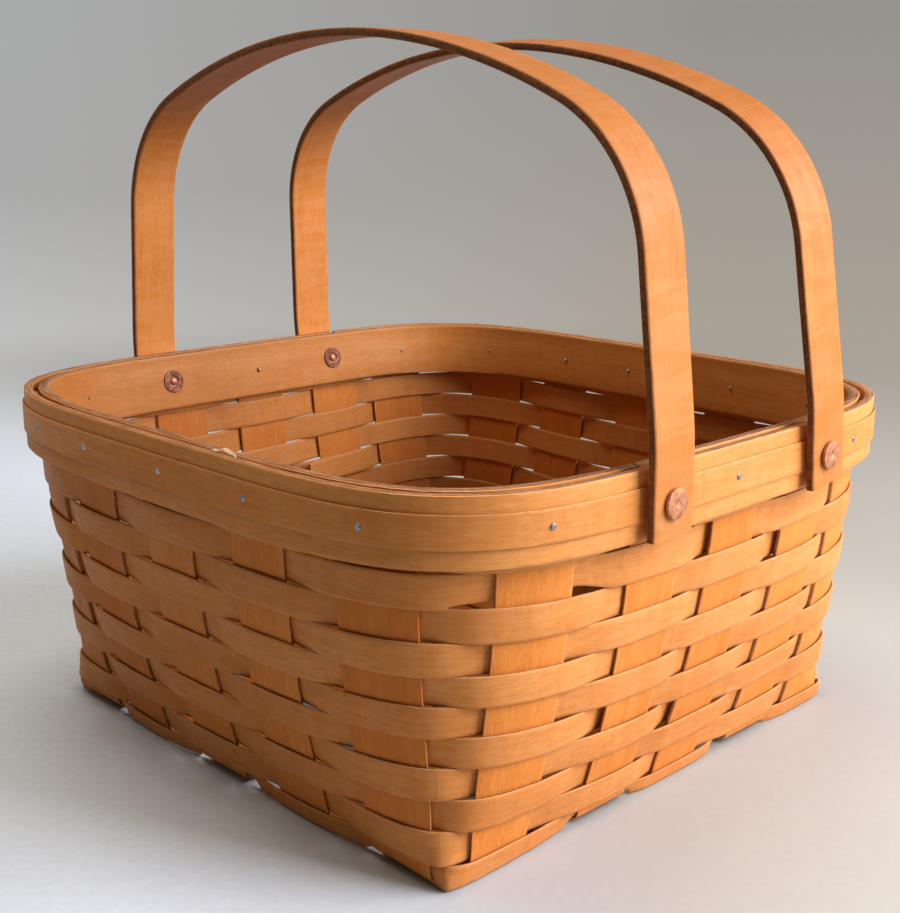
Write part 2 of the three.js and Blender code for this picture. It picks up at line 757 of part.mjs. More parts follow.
const outerBand = band(
  BAND_BOTTOM, RIM_TOP, OUTER_BAND_HALF, OUTER_BAND_HALF, BAND_T, 2,
  -RIGHT_HANDLE_AT - BAND_JOINT_PAST_HANDLE,
);
add("outer_band", drill(outerBand, rimHoles), WOOD_BAND);

const trimStrip = band(
  TRIM_BOTTOM, TRIM_TOP, TRIM_HALF, TRIM_HALF, TRIM_T, 2,
  -RIGHT_HANDLE_AT - TRIM_JOINT_PAST_HANDLE,
);
add("trim_strip", drill(trimStrip, rimHoles), WOOD_BAND);

const innerBand = band(
  BAND_BOTTOM, RIM_TOP, INNER_BAND_HALF_BOTTOM, INNER_BAND_HALF_TOP, BAND_T, 0,
  LEFT_HANDLE_AT - BAND_JOINT_PAST_HANDLE,
);
add("inner_band", drill(innerBand, rimHoles), WOOD_BAND);

add("handle_left", handle(LEFT_HANDLE_AT, LEFT_HANDLE_LEAN), WOOD_HANDLE);
add("handle_right", handle(RIGHT_HANDLE_AT, RIGHT_HANDLE_LEAN), WOOD_HANDLE);

for (const r of rivets) {
  add("rivet_" + r.name, rivet(r.at, r.out), COPPER, 0.9, 0.45);
  add("washer_" + r.name, washer(r.at, r.out), COPPER, 0.9, 0.5);
}

for (const b of brads) {
  add("brad_" + b.name, brad(b), STEEL, 0.9, 0.4);
}

export default group;
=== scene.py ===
# %% [markdown]
# # A splint cake basket with two swing handles
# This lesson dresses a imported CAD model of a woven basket. The CAD holds the sizes, the joints and
# the collision; here every splint, band, handle and nail gets its real surface. We load the CAD
# frame first, keep its box, and build each piece in mesh code where the frame says it stands.

# %% Load the frame
import math

import bmesh
import bpy
import numpy as np
from mathutils import Matrix, Vector


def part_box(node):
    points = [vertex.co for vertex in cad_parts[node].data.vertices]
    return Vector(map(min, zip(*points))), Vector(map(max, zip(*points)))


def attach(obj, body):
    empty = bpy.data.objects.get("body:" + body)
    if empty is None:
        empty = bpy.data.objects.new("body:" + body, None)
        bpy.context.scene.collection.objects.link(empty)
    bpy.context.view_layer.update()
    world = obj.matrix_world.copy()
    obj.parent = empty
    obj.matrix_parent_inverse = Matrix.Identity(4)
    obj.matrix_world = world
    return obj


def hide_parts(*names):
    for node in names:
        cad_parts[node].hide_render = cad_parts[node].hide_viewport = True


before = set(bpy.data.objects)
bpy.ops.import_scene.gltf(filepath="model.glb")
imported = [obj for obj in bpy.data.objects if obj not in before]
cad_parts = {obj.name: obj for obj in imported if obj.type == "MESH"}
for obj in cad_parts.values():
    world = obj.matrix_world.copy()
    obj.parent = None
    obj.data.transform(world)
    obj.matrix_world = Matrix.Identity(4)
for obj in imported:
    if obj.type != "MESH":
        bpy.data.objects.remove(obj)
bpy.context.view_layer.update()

# %% [markdown]
# ## Driving dimensions
# A basket maker thinks in strip widths, rows and gaps, so the same few sizes drive everything
# here, in millimetres. Most are the sizes of the CAD model, and the rim height and the widths of
# the bands are read from the frame. The skins are thinner than the CAD's splints, because the
# CAD keeps a small gap at every crossing and real splints touch.

# %% Sizes in millimetres
MM = 0.001


def frame_box(node):
    low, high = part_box(node)
    return np.array(low) / MM, np.array(high) / MM


band_low, band_high = frame_box("outer_band")
trim_low, trim_high = frame_box("trim_strip")
RIM_TOP, BAND_BOTTOM, OUTER_BAND_HALF = band_high[2], band_low[2], band_high[0]
TRIM_TOP, TRIM_BOTTOM, TRIM_HALF = trim_high[2], trim_low[2], trim_high[0]
FIT, WEAVE_FIT, BAND_FIT = 0.3, 0.4, 0.5
UPRIGHT_W, UPRIGHT_T, UPRIGHT_SKIN_T = 29.0, 1.6, 1.4
WEAVER_T, WEAVER_SKIN_T = 1.5, 1.0
BAND_T = 2.3
SWING = (UPRIGHT_T + WEAVER_T) / 2 + WEAVE_FIT
WALL_FLARE = 26.22
WALL_HALF_AT_RIM = OUTER_BAND_HALF - BAND_T - BAND_FIT - SWING - WEAVER_T / 2
BASE_SQUARENESS, RIM_SQUARENESS, ROUNDING_LAG = 150.0, 4.59, 0.4
ROWS, TOP_ROW_DOWN, LOWEST_ROW_TOP, LOWEST_ROW_BOTTOM = 11, 16.25, 8.25, 1.4
ROW_SAG = 2.6
FOOT_OUT, FOOT_UP = 1.4, 25.0
BEND_R = 4.2
BASE_Z = UPRIGHT_T + FIT / 2
BASE_SWING = BASE_Z - UPRIGHT_SKIN_T / 2
TOP_ROW_TOP = RIM_TOP - TOP_ROW_DOWN
ROW_PITCH = (TOP_ROW_TOP - LOWEST_ROW_TOP) / (ROWS - 1)
print("rim", round(RIM_TOP, 2), "wall half", round(WALL_HALF_AT_RIM, 2), "row pitch", ROW_PITCH)

# %% [markdown]
# ## The shape of the wall
# The plan is nearly square at the base and rounds towards the rim. A superellipse does that with
# one number, its squareness, which falls from bottom to top. The wall leans out most at the base
# and stands upright at the rim, which a parabola gives. Every splint asks these functions where
# it lies, so the weave always fits together.

# %% Wall profile and plan
BACK_LEFT_PULL, PULL_FROM, PULL_TO = 2.1, 100.0, 72.0


def wall_half(h):
    foot = FOOT_OUT * np.clip(1 - np.asarray(h, float) / FOOT_UP, 0, 1) ** 2
    return WALL_HALF_AT_RIM - WALL_FLARE * ((RIM_TOP - h) / RIM_TOP) ** 2 + foot


def wall_lean(h):
    return np.arctan(2 * WALL_FLARE * (RIM_TOP - h) / RIM_TOP**2)


# The bend begins where its arc and the leaning wall run the same way; a few rounds find it.
bend_top = BASE_Z + BEND_R
for _ in range(30):
    bend_top = BASE_Z + BEND_R * (1 - math.sin(wall_lean(bend_top)))
BEND_TOP = bend_top
BEND_LEAN = float(wall_lean(BEND_TOP))
BEND_FOOT = BEND_TOP - BEND_R * (math.pi / 2 - BEND_LEAN)
BEND_CENTRE = wall_half(BEND_TOP) - BEND_R * math.cos(BEND_LEAN)


def profile(h):
    """Half width, height and lean of the wall; below the bend's top, h is measured round it."""
    h = np.asarray(h, float)
    round_it = BEND_LEAN + (BEND_TOP - h) / BEND_R
    bent = h < BEND_TOP
    lean = np.where(bent, round_it, wall_lean(h))
    half = np.where(bent, BEND_CENTRE + BEND_R * np.cos(round_it), wall_half(h))
    z = np.where(bent, BASE_Z + BEND_R * (1 - np.sin(round_it)), h)
    return half, z, lean


def squareness(h):
    full = TOP_ROW_TOP - ROW_PITCH
    up = np.clip((np.asarray(h, float) - BEND_TOP) / (full - BEND_TOP), 0, 1)
    rounded = up * (1 + ROUNDING_LAG) / (up + ROUNDING_LAG)
    return 1 / (1 / BASE_SQUARENESS + (1 / RIM_SQUARENESS - 1 / BASE_SQUARENESS) * rounded)


def plan_depth(half, n, t):
    return half * np.maximum(1 - np.minimum(1, np.abs(t / half)) ** n, 0) ** (1 / n)


def corner_at(half, n):
    """Where a wall ends: the place along it at which the plan runs at 45 degrees."""
    return half * 2 ** (-1 / n)


def on_wall(wall, t, depth, z):
    """Points of the basket from a wall's number, a place along it, its depth and a height."""
    wall = np.asarray(wall) % 4
    t, depth, z = np.broadcast_arrays(np.asarray(t, float), depth, z)
    x = np.choose(wall, [t, depth, -t, -depth])
    y = np.choose(wall, [-depth, t, depth, -t])
    return np.stack([x, y, z], -1)


def back_left_pull(wall, angle, h):
    """The back left corner stands a little nearer to the middle than the other three."""
    wall = np.asarray(wall) % 4
    there = ((wall == 2) & (angle > 0)) | ((wall == 3) & (angle < 0))
    down = np.clip((PULL_FROM - h) / (PULL_FROM - PULL_TO), 0, 1)
    return np.where(there, BACK_LEFT_PULL * down * np.sin(2 * angle) ** 4, 0)


def weave_point(wall, angle, h, off, straight):
    """A point at an angle round the plan. It wraps the bend where straight is 0, stands at 1."""
    bent_half, bent_z, lean = profile(h)
    half = bent_half + (wall_half(h) - bent_half) * straight
    n = squareness(h)
    reach = half / (np.abs(np.cos(angle)) ** n + np.abs(np.sin(angle)) ** n) ** (1 / n)
    wrap = 1 - straight
    out = off * (straight + wrap * np.cos(lean))
    grow = (half + out - back_left_pull(wall, angle, h)) / half
    z = bent_z * wrap + h * straight - off * np.sin(lean) * wrap
    return on_wall(wall, reach * np.sin(angle) * grow, reach * np.cos(angle) * grow, z)


def wall_point(wall, t, h, off):
    angle = np.arctan2(t, plan_depth(profile(h)[0], squareness(h), t))
    return weave_point(wall, angle, h, off, 0.0)


print("bend from", round(BEND_FOOT, 2), "to", round(BEND_TOP, 2),
      "base half", round(wall_half(0), 2))

# %% [markdown]
# ## Where the uprights stand
# The gaps between the uprights are not quite even, and they open a little from rim to base. We
# keep the gaps as a list and add them up from the middle splint.

# %% Places of the uprights
PER_WALL = 5
MIDDLE_OFF = {"across": 6.5, "along": 4.5}
BASE_GAPS = {"across": [30, 16.5, 24, 12.7], "along": [24.7, 23, 25, 13.7]}
RIM_GAPS = {"across": [25.8, 21.5, 19.5, 12], "along": [23.5, 27, 21, 16]}


def places_of(middle, gaps):
    places = [middle]
    for gap in gaps[1::-1]:
        places.insert(0, places[0] - UPRIGHT_W - gap)
    for gap in gaps[2:]:
        places.append(places[-1] + UPRIGHT_W + gap)
    return np.array(places, float)


BASE_AT = {s: places_of(MIDDLE_OFF[s], BASE_GAPS[s]) for s in MIDDLE_OFF}
RIM_AT = {s: places_of(MIDDLE_OFF[s], RIM_GAPS[s]) for s in MIDDLE_OFF}


def place_on_wall(wall, i, h):
    """Place of a wall's upright i at height h, from its left end as seen from outside."""
    up = np.clip(np.asarray(h, float) / RIM_TOP, 0, 1)
    facing = wall % 4
    splints = "across" if facing % 2 == 0 else "along"
    j = i if facing < 2 else PER_WALL - 1 - i
    base, rim = BASE_AT[splints][j], RIM_AT[splints][j]
    return (base + (rim - base) * up) * (1 if facing < 2 else -1)


for k in range(PER_WALL):
    low, high = frame_box(f"upright_front_back_{k + 1}")
    print("upright", k + 1, "CAD from", low[0].round(1), "to", high[0].round(1),
          "here about", BASE_AT["across"][k].round(1), RIM_AT["across"][k].round(1))

# %% [markdown]
# ## Building a splint
# A splint is a thin strip with slightly worn, rounded edges. We describe its section once, as a
# ring of points, sweep that ring along the splint's way, and close both ends. The mesh also keeps
# where each point lies in the wood: along the grain, across it and through the thickness. The
# materials read that, so the grain bends with the splint as it does in a real strip.

# %% Helpers: smooth random waves and a smooth line through points
rng = np.random.default_rng(11)


def waves(s, lengths, seed):
    """A smooth irregular value of about -1 to 1 along s, made of a few sine waves."""
    local = np.random.default_rng(seed)
    total = np.zeros_like(np.asarray(s, float))
    for length in lengths:
        total += np.sin(2 * np.pi * (s / length + local.random())) * local.uniform(0.5, 1)
    return total / len(lengths)


def eased(x):
    """0 up to 0, 1 from 1 on, and a soft S between them."""
    x = np.clip(x, 0, 1)
    return x * x * (3 - 2 * x)


def smooth_line(x, xs, ys):
    """A curve through the points (xs, ys) that rises and falls only where they do."""
    xs, ys = np.asarray(xs, float), np.asarray(ys, float)
    step = np.diff(xs)
    slope = np.diff(ys) / step
    tangent = np.zeros_like(xs)
    same = slope[1:] * slope[:-1] > 0
    w1, w2 = 2 * step[1:] + step[:-1], step[1:] + 2 * step[:-1]
    with np.errstate(divide="ignore", invalid="ignore"):
        mean = (w1 + w2) / (w1 / slope[:-1] + w2 / slope[1:])
    tangent[1:-1] = np.where(same, np.nan_to_num(mean), 0)
    k = np.clip(np.searchsorted(xs, x) - 1, 0, len(step) - 1)
    u = (np.clip(x, xs[0], xs[-1]) - xs[k]) / step[k]
    a = ys[k] * (1 + 2 * u) * (1 - u) ** 2 + ys[k + 1] * u**2 * (3 - 2 * u)
    return a + step[k] * u * (1 - u) * (tangent[k] * (1 - u) - tangent[k + 1] * u)


def running_length(line):
    """How far along a line of points each one lies."""
    steps = np.linalg.norm(np.diff(line, axis=0), axis=1)
    return np.concatenate([[0], np.cumsum(steps)])


# %% Helper: the section of a strip
EDGE_WEAR, FACE_MARGIN = 0.28, 1.4


def section(width, thick, columns, wear=EDGE_WEAR):
    """Across, through and edge values of a strip's ring: its outer face, then its inner face."""
    half = width / 2
    near = min(FACE_MARGIN, width / 6)
    middle = np.linspace(-half + near, half - near, columns)
    v = np.concatenate([[-half, -half + wear], middle, [half - wear, half]])
    w = np.full_like(v, thick / 2)
    w[[0, -1]] -= wear
    edge = np.zeros_like(v)
    edge[[0, -1]] = 1.0
    edge[[1, -2]] = 0.75
    ring_v = np.concatenate([v, v[::-1]])
    ring_w = np.concatenate([w, -w[::-1]])
    return ring_v, ring_w, np.concatenate([edge, edge[::-1]])


# %% Helpers: sweep a ring of points into a mesh
WOOD_APART, SHARP_FROM = 300, 50


def in_the_wood(rings, along, across, through, tint):
    """Each point's place in the wood in mm. Every tint takes another stretch of the wood."""
    seed = WOOD_APART * tint
    parts = (along[:, None] + seed * 7, across + seed * 3, through + seed)
    return np.stack([np.broadcast_to(part, rings.shape[:2]) for part in parts], -1)


def smooth_mesh(name, points, faces):
    mesh = bpy.data.meshes.new(name)
    mesh.from_pydata((np.array(points) * MM).tolist(), [], faces)
    mesh.polygons.foreach_set("use_smooth", [True] * len(faces))
    return mesh


def skin(count, size):
    """The four-sided faces between count rings of size points each."""
    return [(a + j, a + (j + 1) % size, a + size + (j + 1) % size, a + size + j)
            for a in range(0, (count - 1) * size, size) for j in range(size)]


def swept(name, rings, grain, edge, tint, body, replaces=(), shade_inside=1.0):
    """A mesh from rings of points in mm. Faces on a strip's edges and ends get material 1."""
    count, size = rings.shape[:2]
    half = size // 2
    faces = skin(count, size)
    kinds = [int(j in (half - 1, size - 1)) for j in range(size)] * (count - 1)
    for start, turn in ((0, 1), ((count - 1) * size, -1)):
        for j in range(half - 1):
            quad = (start + j, start + size - 1 - j, start + size - 2 - j, start + j + 1)
            faces.append(quad[::turn])
            kinds.append(1)
    mesh = smooth_mesh(name, rings.reshape(-1, 3), faces)
    mesh.polygons.foreach_set("material_index", kinds)
    # The inner half of each ring carries shade_inside, where the wood paints shade.
    add_attributes(mesh, grain.reshape(-1, 3), np.tile(edge, count), tint,
                   np.tile(np.repeat([0.0, shade_inside], half), count))
    face_outward(mesh)
    mesh.set_sharp_from_angle(angle=math.radians(SHARP_FROM))
    return placed(name, mesh, body, replaces)


def face_outward(mesh):
    """Turns the faces of a closed mesh so that they look out."""
    solid = bmesh.new()
    solid.from_mesh(mesh)
    if solid.calc_volume(signed=True) < 0:
        bmesh.ops.reverse_faces(solid, faces=solid.faces)
        solid.to_mesh(mesh)
    solid.free()


def add_attributes(mesh, grain, edge, tint, inner):
    """Stores the place in the wood in metres, nearness to an edge, the shade and the inner side."""
    place = mesh.attributes.new("grain", "FLOAT_VECTOR", "POINT")
    place.data.foreach_set("vector", (grain * MM).astype(np.float32).ravel())
    shade = np.full(len(mesh.vertices), tint)
    for name, values in (("edge", edge), ("tint", shade), ("inner_side", inner)):
        held = mesh.attributes.new(name, "FLOAT", "POINT")
        held.data.foreach_set("value", values.astype(np.float32))


piece_log = []


def in_scene(name, data):
    made = bpy.data.objects.new(name, data)
    bpy.context.scene.collection.objects.link(made)
    return made


def placed(name, mesh, body, replaces=()):
    """Puts a mesh in the scene, parents it to the body it moves with and hides the CAD nodes it
    stands for.
    """
    mesh.validate()
    mesh.update()
    piece = in_scene(name, mesh)
    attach(piece, body)
    if replaces:
        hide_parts(*replaces)
    piece_log.append((name, len(mesh.polygons)))
    return piece


def finish_with(pieces, *materials):
    for piece in pieces:
        for material in materials:
            piece.data.materials.append(material)


# %% [markdown]
# ## The uprights
# Each upright is one long flat splint: down a wall, round a tight bend, across the base, where it
# passes over and under the crossing ones, and up the opposite wall. Its top is sprung out a little
# against the outer band. Between the rows it swells out a hair, where no weaver presses it in.

# %% The way of an upright
UPRIGHT_TOP_FLARE, FLARE_STARTS_DOWN, FLARE_ENDS_DOWN = 1.8, 15.0, 6.0
UPRIGHT_BELOW_RIM = 1.8
SWELL, SWELL_FROM, SWELL_GROWS, SWELL_DOWN, SWELL_FADES = 0.15, 12, 10, 30, 8
RING_STEP, BEND_RINGS, BASE_STEP = 2.6, 9, 2.5
BASE_FROM, BASE_TO, BASE_JOINS, EDGE_LEVEL = 13, 13.5, 4, 0.96


def flare_at(h):
    over = FLARE_STARTS_DOWN - FLARE_ENDS_DOWN
    return UPRIGHT_TOP_FLARE * eased((h - (RIM_TOP - FLARE_STARTS_DOWN)) / over)


def swell_at(h, column):
    """Out where this column shows on the outside, in where a weaver crosses it there."""
    row = (TOP_ROW_TOP - h) / ROW_PITCH - 0.5
    grown = np.clip((h - SWELL_FROM) / SWELL_GROWS, 0, 1)
    faded = np.clip((RIM_TOP - SWELL_DOWN - h) / SWELL_FADES, 0, 1)
    return SWELL * np.cos(np.pi * (row + column + 1)) * (grown * faded)


def upright(way, i, start_wall, odd, tint):
    """Upright i of one way: down start_wall, across the base and up the wall opposite."""
    v, w, edge = section(UPRIGHT_W, UPRIGHT_SKIN_T, 7)
    heights = np.concatenate([
        np.arange(RIM_TOP - UPRIGHT_BELOW_RIM, BEND_TOP + 1, -RING_STEP),
        np.linspace(BEND_TOP, BEND_FOOT, BEND_RINGS)])
    crossing = BASE_AT["along" if start_wall == 0 else "across"]
    own = BASE_AT["across" if start_wall == 0 else "along"][i]
    level = [BASE_SWING if (i + j) % 2 == odd else -BASE_SWING for j in range(PER_WALL)]
    rings = []

    def wall_rings(wall, direction, shift, upward):
        nth = i if direction > 0 else PER_WALL - 1 - i
        column = wall % 4 * PER_WALL + nth
        for h in heights[::-1] if upward else heights:
            place = place_on_wall(wall, nth, h) + direction * v
            off = w + flare_at(h) + swell_at(h, column)
            ring = wall_point(wall, place, np.full_like(v, h), off)
            ring[:, 2] += shift * max(0.0, 1 - (h - BEND_FOOT) / BASE_JOINS)
            rings.append(ring)

    direction = 1 if start_wall == 0 else -1
    wall_rings(start_wall, direction, level[0], upward=False)
    reach = UPRIGHT_W / 2 + FIT
    xs = np.add.outer(crossing, (-reach, 0, reach)).ravel()
    zs = np.multiply.outer(level, (EDGE_LEVEL, 1, EDGE_LEVEL)).ravel()
    for along in np.arange(crossing[0] - BASE_FROM, crossing[-1] + BASE_TO, BASE_STEP):
        z = BASE_Z + smooth_line(np.array([along]), xs, zs)[0]
        place = np.full_like(v, along)
        flat = (own + v, place) if start_wall == 0 else (place, own + v)
        rings.append(np.stack([*flat, z - w], -1))
    wall_rings(start_wall + 2, -direction, level[-1], upward=True)
    rings = np.array(rings)
    grain = in_the_wood(rings, running_length(rings.mean(1)), v, w, tint)
    return swept(f"splint_{way}_{i + 1}", rings, grain, edge, tint, "basket",
                 [f"upright_{way}_{i + 1}"])


# %% Make the ten uprights
uprights = [upright(way, i, start_wall, odd, rng.random())
            for way, start_wall, odd in (("front_back", 0, 1), ("left_right", 3, 0))
            for i in range(PER_WALL)]
print("uprights", len(uprights), "faces", sum(n for _, n in piece_log))

# %% [markdown]
# ## The weavers
# A weaver is a thinner hoop that goes over one upright and under the next. Soaked and bent over a
# stiff upright it bows, so its way is a smooth line through a few points at each upright: the two
# edges and the crown. Even numbers of crossings would never alternate; here each hoop starts one
# upright further on, as the maker does with separate hoops, and its ends lap on the inside.

# %% The way of a weaver
LAP_COLUMNS = [17, 2, 3, 16, 11, 18, 1, 2, 17, 16, 3]
LAP_PAST, LAP_IN, LAP_FROM, LAP_OVER = 12.0, WEAVER_SKIN_T + FIT + 0.1, 14, 12
SPRUNG_ROW, SPRUNG_PAST, SPRUNG_FROM, SPRUNG_BY, SPRUNG_CURL = 4, 25.0, 4.0, 2.4, 1.4
LOWEST_EDGE, WRAPPED_EDGE, OUTSIDE_FROM, OUTSIDE_OVER = 0.35, 1.6, -1.12, 0.28
LOOSE_ROW, LOOSE_AT, LOOSE_BY = 1, [-160, -140, -114, -84, -64, 210], [0, 0, 2.2, 3.2, 0, 0]
OVER_EDGE, OVER_CROWN, EDGE_VARIES, CROWN_VARIES = 1.22, 1.48, (-0.1, 0.15), (-0.15, 0.15)
STATION_STEP, CORNER_STATIONS = 3.0, (-2.2, -1.1, -0.4, 0, 0.4, 1.1, 2.2)
ROW_CRACK, OVERLAP, PRESSED_AT, MEETING = 0.25, 0.38, 0.9, 0.4
BOW, WAVY, CUP = 0.12, 0.16, 0.08

SETTLED_H = [0, 8, 14, 26, 38, 51, 63, 75, 88, 100, 112, 123, 130]
SETTLED_WALL = [0, 0.6, 0.6, 1, 1, 1, 1, 1, 1, 1, 0.7, 0.15, 0]
SETTLED_NEAR = [0, 1.2, 1.2, 0.15, 0.15, -0.6, -0.9, -2.0, -2.4, -2.1, -1.7, -1.2, 0]
SETTLED_BY = [-3.2, -2.2, -2.2, -1.8]
SETTLED_CORNER, LEFT_TILT, TILT_WITHIN = -1.2, 0.009, 0.8


def rise(h, wall, angle):
    """How far a row stands above its even level: up at the corners, settled between them."""
    s = np.clip(h / RIM_TOP, 0, 1)
    corner = np.sin(2 * angle) ** 4
    wall = np.asarray(wall) % 4
    near = ((wall == 0) & (angle < 0)) | ((wall == 3) & (angle > 0))
    slant = LEFT_TILT * wall_half(h) * np.tan(np.clip(angle, -TILT_WITHIN, TILT_WITHIN))
    amount = smooth_line(h, SETTLED_H, SETTLED_WALL)
    at_corner = np.where(near, smooth_line(h, SETTLED_H, SETTLED_NEAR), SETTLED_CORNER * amount)
    at_wall = (np.choose(wall, SETTLED_BY) + np.where(wall == 3, slant, 0)) * amount
    return ROW_SAG * 4 * s * (1 - s) * corner + (at_wall * (1 - corner) + at_corner * corner)


def crossings(row, h, wall_length, local):
    """Where and how far out the weaver passes each upright, along the whole way round twice."""
    xs, ys = [], []
    reach = UPRIGHT_W / 2
    for column in range(-PER_WALL, 9 * PER_WALL):
        wall, i = divmod(column, PER_WALL)
        place = float(place_on_wall(wall % 4, i, h)) + wall * wall_length
        side = 1 if (row + column) % 2 == 0 else -1
        crown = OVER_CROWN + local.uniform(*CROWN_VARIES)
        xs += [place - reach, place, place + reach]
        ys += [side * OVER_EDGE, side * crown, side * (OVER_EDGE + local.uniform(*EDGE_VARIES))]
    return xs, ys


def weaver(row, tint):
    local = np.random.default_rng(50 + row)
    lowest = row == ROWS - 1
    top = TOP_ROW_TOP - row * ROW_PITCH
    bottom = LOWEST_ROW_BOTTOM if lowest else top - ROW_PITCH + ROW_CRACK
    width, mid = top - bottom, (top + bottom) / 2
    half, n = profile(mid)[0], squareness(mid)
    length = 2 * float(corner_at(half, n))
    v, w, edge = section(width, WEAVER_SKIN_T, 5)

    # The stations: once round from the lap, closer together at the corners.
    wall0, i0 = divmod(LAP_COLUMNS[row], PER_WALL)
    centre = float(place_on_wall(wall0, i0, mid)) + wall0 * length
    past = SPRUNG_PAST if row == SPRUNG_ROW else LAP_PAST
    start = centre - (LAP_PAST if row else -MEETING)
    end = centre + 4 * length + (past if row else -MEETING)
    corners = (np.arange(wall0, wall0 + 5) + 0.5) * length
    s = np.linspace(start, end, int((end - start) / STATION_STEP))
    s = np.unique(np.concatenate([s] + [corners + d for d in CORNER_STATIONS]))
    s = s[(s >= start) & (s <= end)]
    wall = np.round(s / length).astype(int)
    t = s - wall * length
    angle = np.arctan2(t, plan_depth(half, n, t))

    # Out and in: over and under the uprights, and further in where the end laps.
    off = smooth_line(s, *crossings(row, mid, length, local))
    off = off + BOW * waves(s, (31, 47, 90), 100 + row)
    if row:
        off = off - LAP_IN * eased((s - (end - past - UPRIGHT_W / 2 - LAP_FROM)) / LAP_OVER)
    if row == SPRUNG_ROW:
        springs_at = end - past + SPRUNG_FROM
        lift = np.clip((s - springs_at) / (past - SPRUNG_FROM), 0, 1)
        level = off[np.searchsorted(s, springs_at)]
        off = np.where(lift > 0, level - SPRUNG_BY * lift**SPRUNG_CURL, off)

    # Up and down: wavy edges, settled rows, and the lowest row wrapped round the bend.
    share = (v / width + 0.5)[None, :]
    wavy = WAVY * waves(s, (23, 41, 67, 130), 200 + row)[:, None]
    lower = WAVY * waves(s, (19, 37, 73, 140), 230 + row)[:, None]
    straight = np.ones((len(s), 1))
    if lowest:
        outside = eased((off - OUTSIDE_FROM) / OUTSIDE_OVER)
        straight = np.maximum(outside, np.sin(2 * angle) ** 8)[:, None]
        foot = LOWEST_EDGE * straight + WRAPPED_EDGE * (1 - straight)
        lip = top + rise(np.full(len(s), top), wall, angle)[:, None] + wavy
        h = foot + (lip - foot) * share
    else:
        h = bottom + width * share + wavy * share + lower * (1 - share)
        h = h + rise(h, wall[:, None], angle[:, None])
    pressed = np.isin(wall % 4, (0, 3)) * (0 < row < ROWS - 1)
    h = h + OVERLAP * (np.clip(np.abs(off) / PRESSED_AT, 0, 1) * pressed)[:, None] * (2 * share - 1)
    if row == LOOSE_ROW:
        loose = smooth_line(np.where(wall % 4 == 0, t, LOOSE_AT[-1]), LOOSE_AT, LOOSE_BY)
        h = h + loose[:, None] * (1 - share)
    cup = CUP * (1 - (2 * v / width) ** 2)
    rings = weave_point(wall[:, None], angle[:, None], h, off[:, None] + w + cup, straight)
    name = f"weaver_{row + 1:02d}"
    return swept("splint_" + name, rings, in_the_wood(rings, s, v, w, tint), edge, tint,
                 "basket", [name])


# %% Make the eleven weavers
weavers = [weaver(row, rng.random()) for row in range(ROWS)]
print("weavers", len(weavers), "faces", sum(len(p.data.polygons) for p in weavers))

# %% [markdown]
# ## The rim
# Two bands clamp the tops of the uprights, and a narrower trim strip is nailed over the middle of
# the outer one. Their upper edges are sawn and slightly frayed, so we roughen those edges with
# small random steps, which show against the light. They are a little thicker than in the CAD,
# as the sawn edges of the real ones show. One splinter has torn loose on the left.

# %% The way of a band
BAND_STEP, BAND_MEETING, BAND_WEAR, BAND_WAVE = 2.0, 0.3, 0.2, 0.08
FRAYED_FROM, NICK_OFTEN = 0.9, 0.985
HANDLE_AT = {side: frame_box(f"rivet_{side}_front") for side in ("left", "right")}
HANDLE_X = {side: float((low[0] + high[0]) / 2) for side, (low, high) in HANDLE_AT.items()}
print("handles at x", HANDLE_X)


def fray(s, seed, depth):
    """A ragged edge: small waves with a few sharper nicks."""
    local = np.random.default_rng(seed)
    waved = depth * 0.5 * waves(s, (2.3, 3.9, 7.1, 17), seed)
    torn = depth * 0.4 * local.normal(size=len(s))
    nicks = (local.random(len(s)) > NICK_OFTEN) * local.uniform(1, 3, len(s)) * depth
    return np.clip(waved + torn - nicks, -3 * depth, depth)


def band(name, node, heights, faces, joint, fray_depth, tint, corner_lift=0.0):
    """A hoop. Its faces are half widths from foot to top, its joint a wall and a place on it."""
    bottom, top = heights
    height = top - bottom
    v, w, edge = section(height, 1.0, 9, wear=BAND_WEAR)
    share = v / height + 0.5
    levels = np.linspace(0, 1, len(faces[0]))
    face_out, face_in = (smooth_line(share, levels, face) for face in faces)
    worn = 0.5 - np.abs(w)
    half = np.where(w > 0, face_out - worn, face_in + worn)
    widest = faces[0][-1]
    length = 2 * corner_at(widest, RIM_SQUARENESS)
    start = joint[0] * length + joint[1] + BAND_MEETING
    s = np.arange(start, start + 4 * length - 2 * BAND_MEETING, BAND_STEP)
    wall = np.round(s / length).astype(int)
    t = s - wall * length
    depth = plan_depth(widest, RIM_SQUARENESS, t)
    reach = half + BAND_WAVE * waves(s, (60, 97, 160), 400)[:, None]
    z = np.tile(bottom + height * share, (len(s), 1))
    z += (share > FRAYED_FROM) * fray(s, 31 + int(top), fray_depth)[:, None]
    z += BAND_WAVE * waves(s, (50, 83), 77)[:, None]
    z += corner_lift * (np.sin(2 * np.arctan2(t, depth)) ** 4)[:, None] * (1 - share)
    along, out = (t / widest)[:, None] * reach, (depth / widest)[:, None] * reach
    rings = on_wall(wall[:, None], along, out, z)
    return swept(name, rings, in_the_wood(rings, s, v, half, tint), edge, tint, "basket",
                 [node])


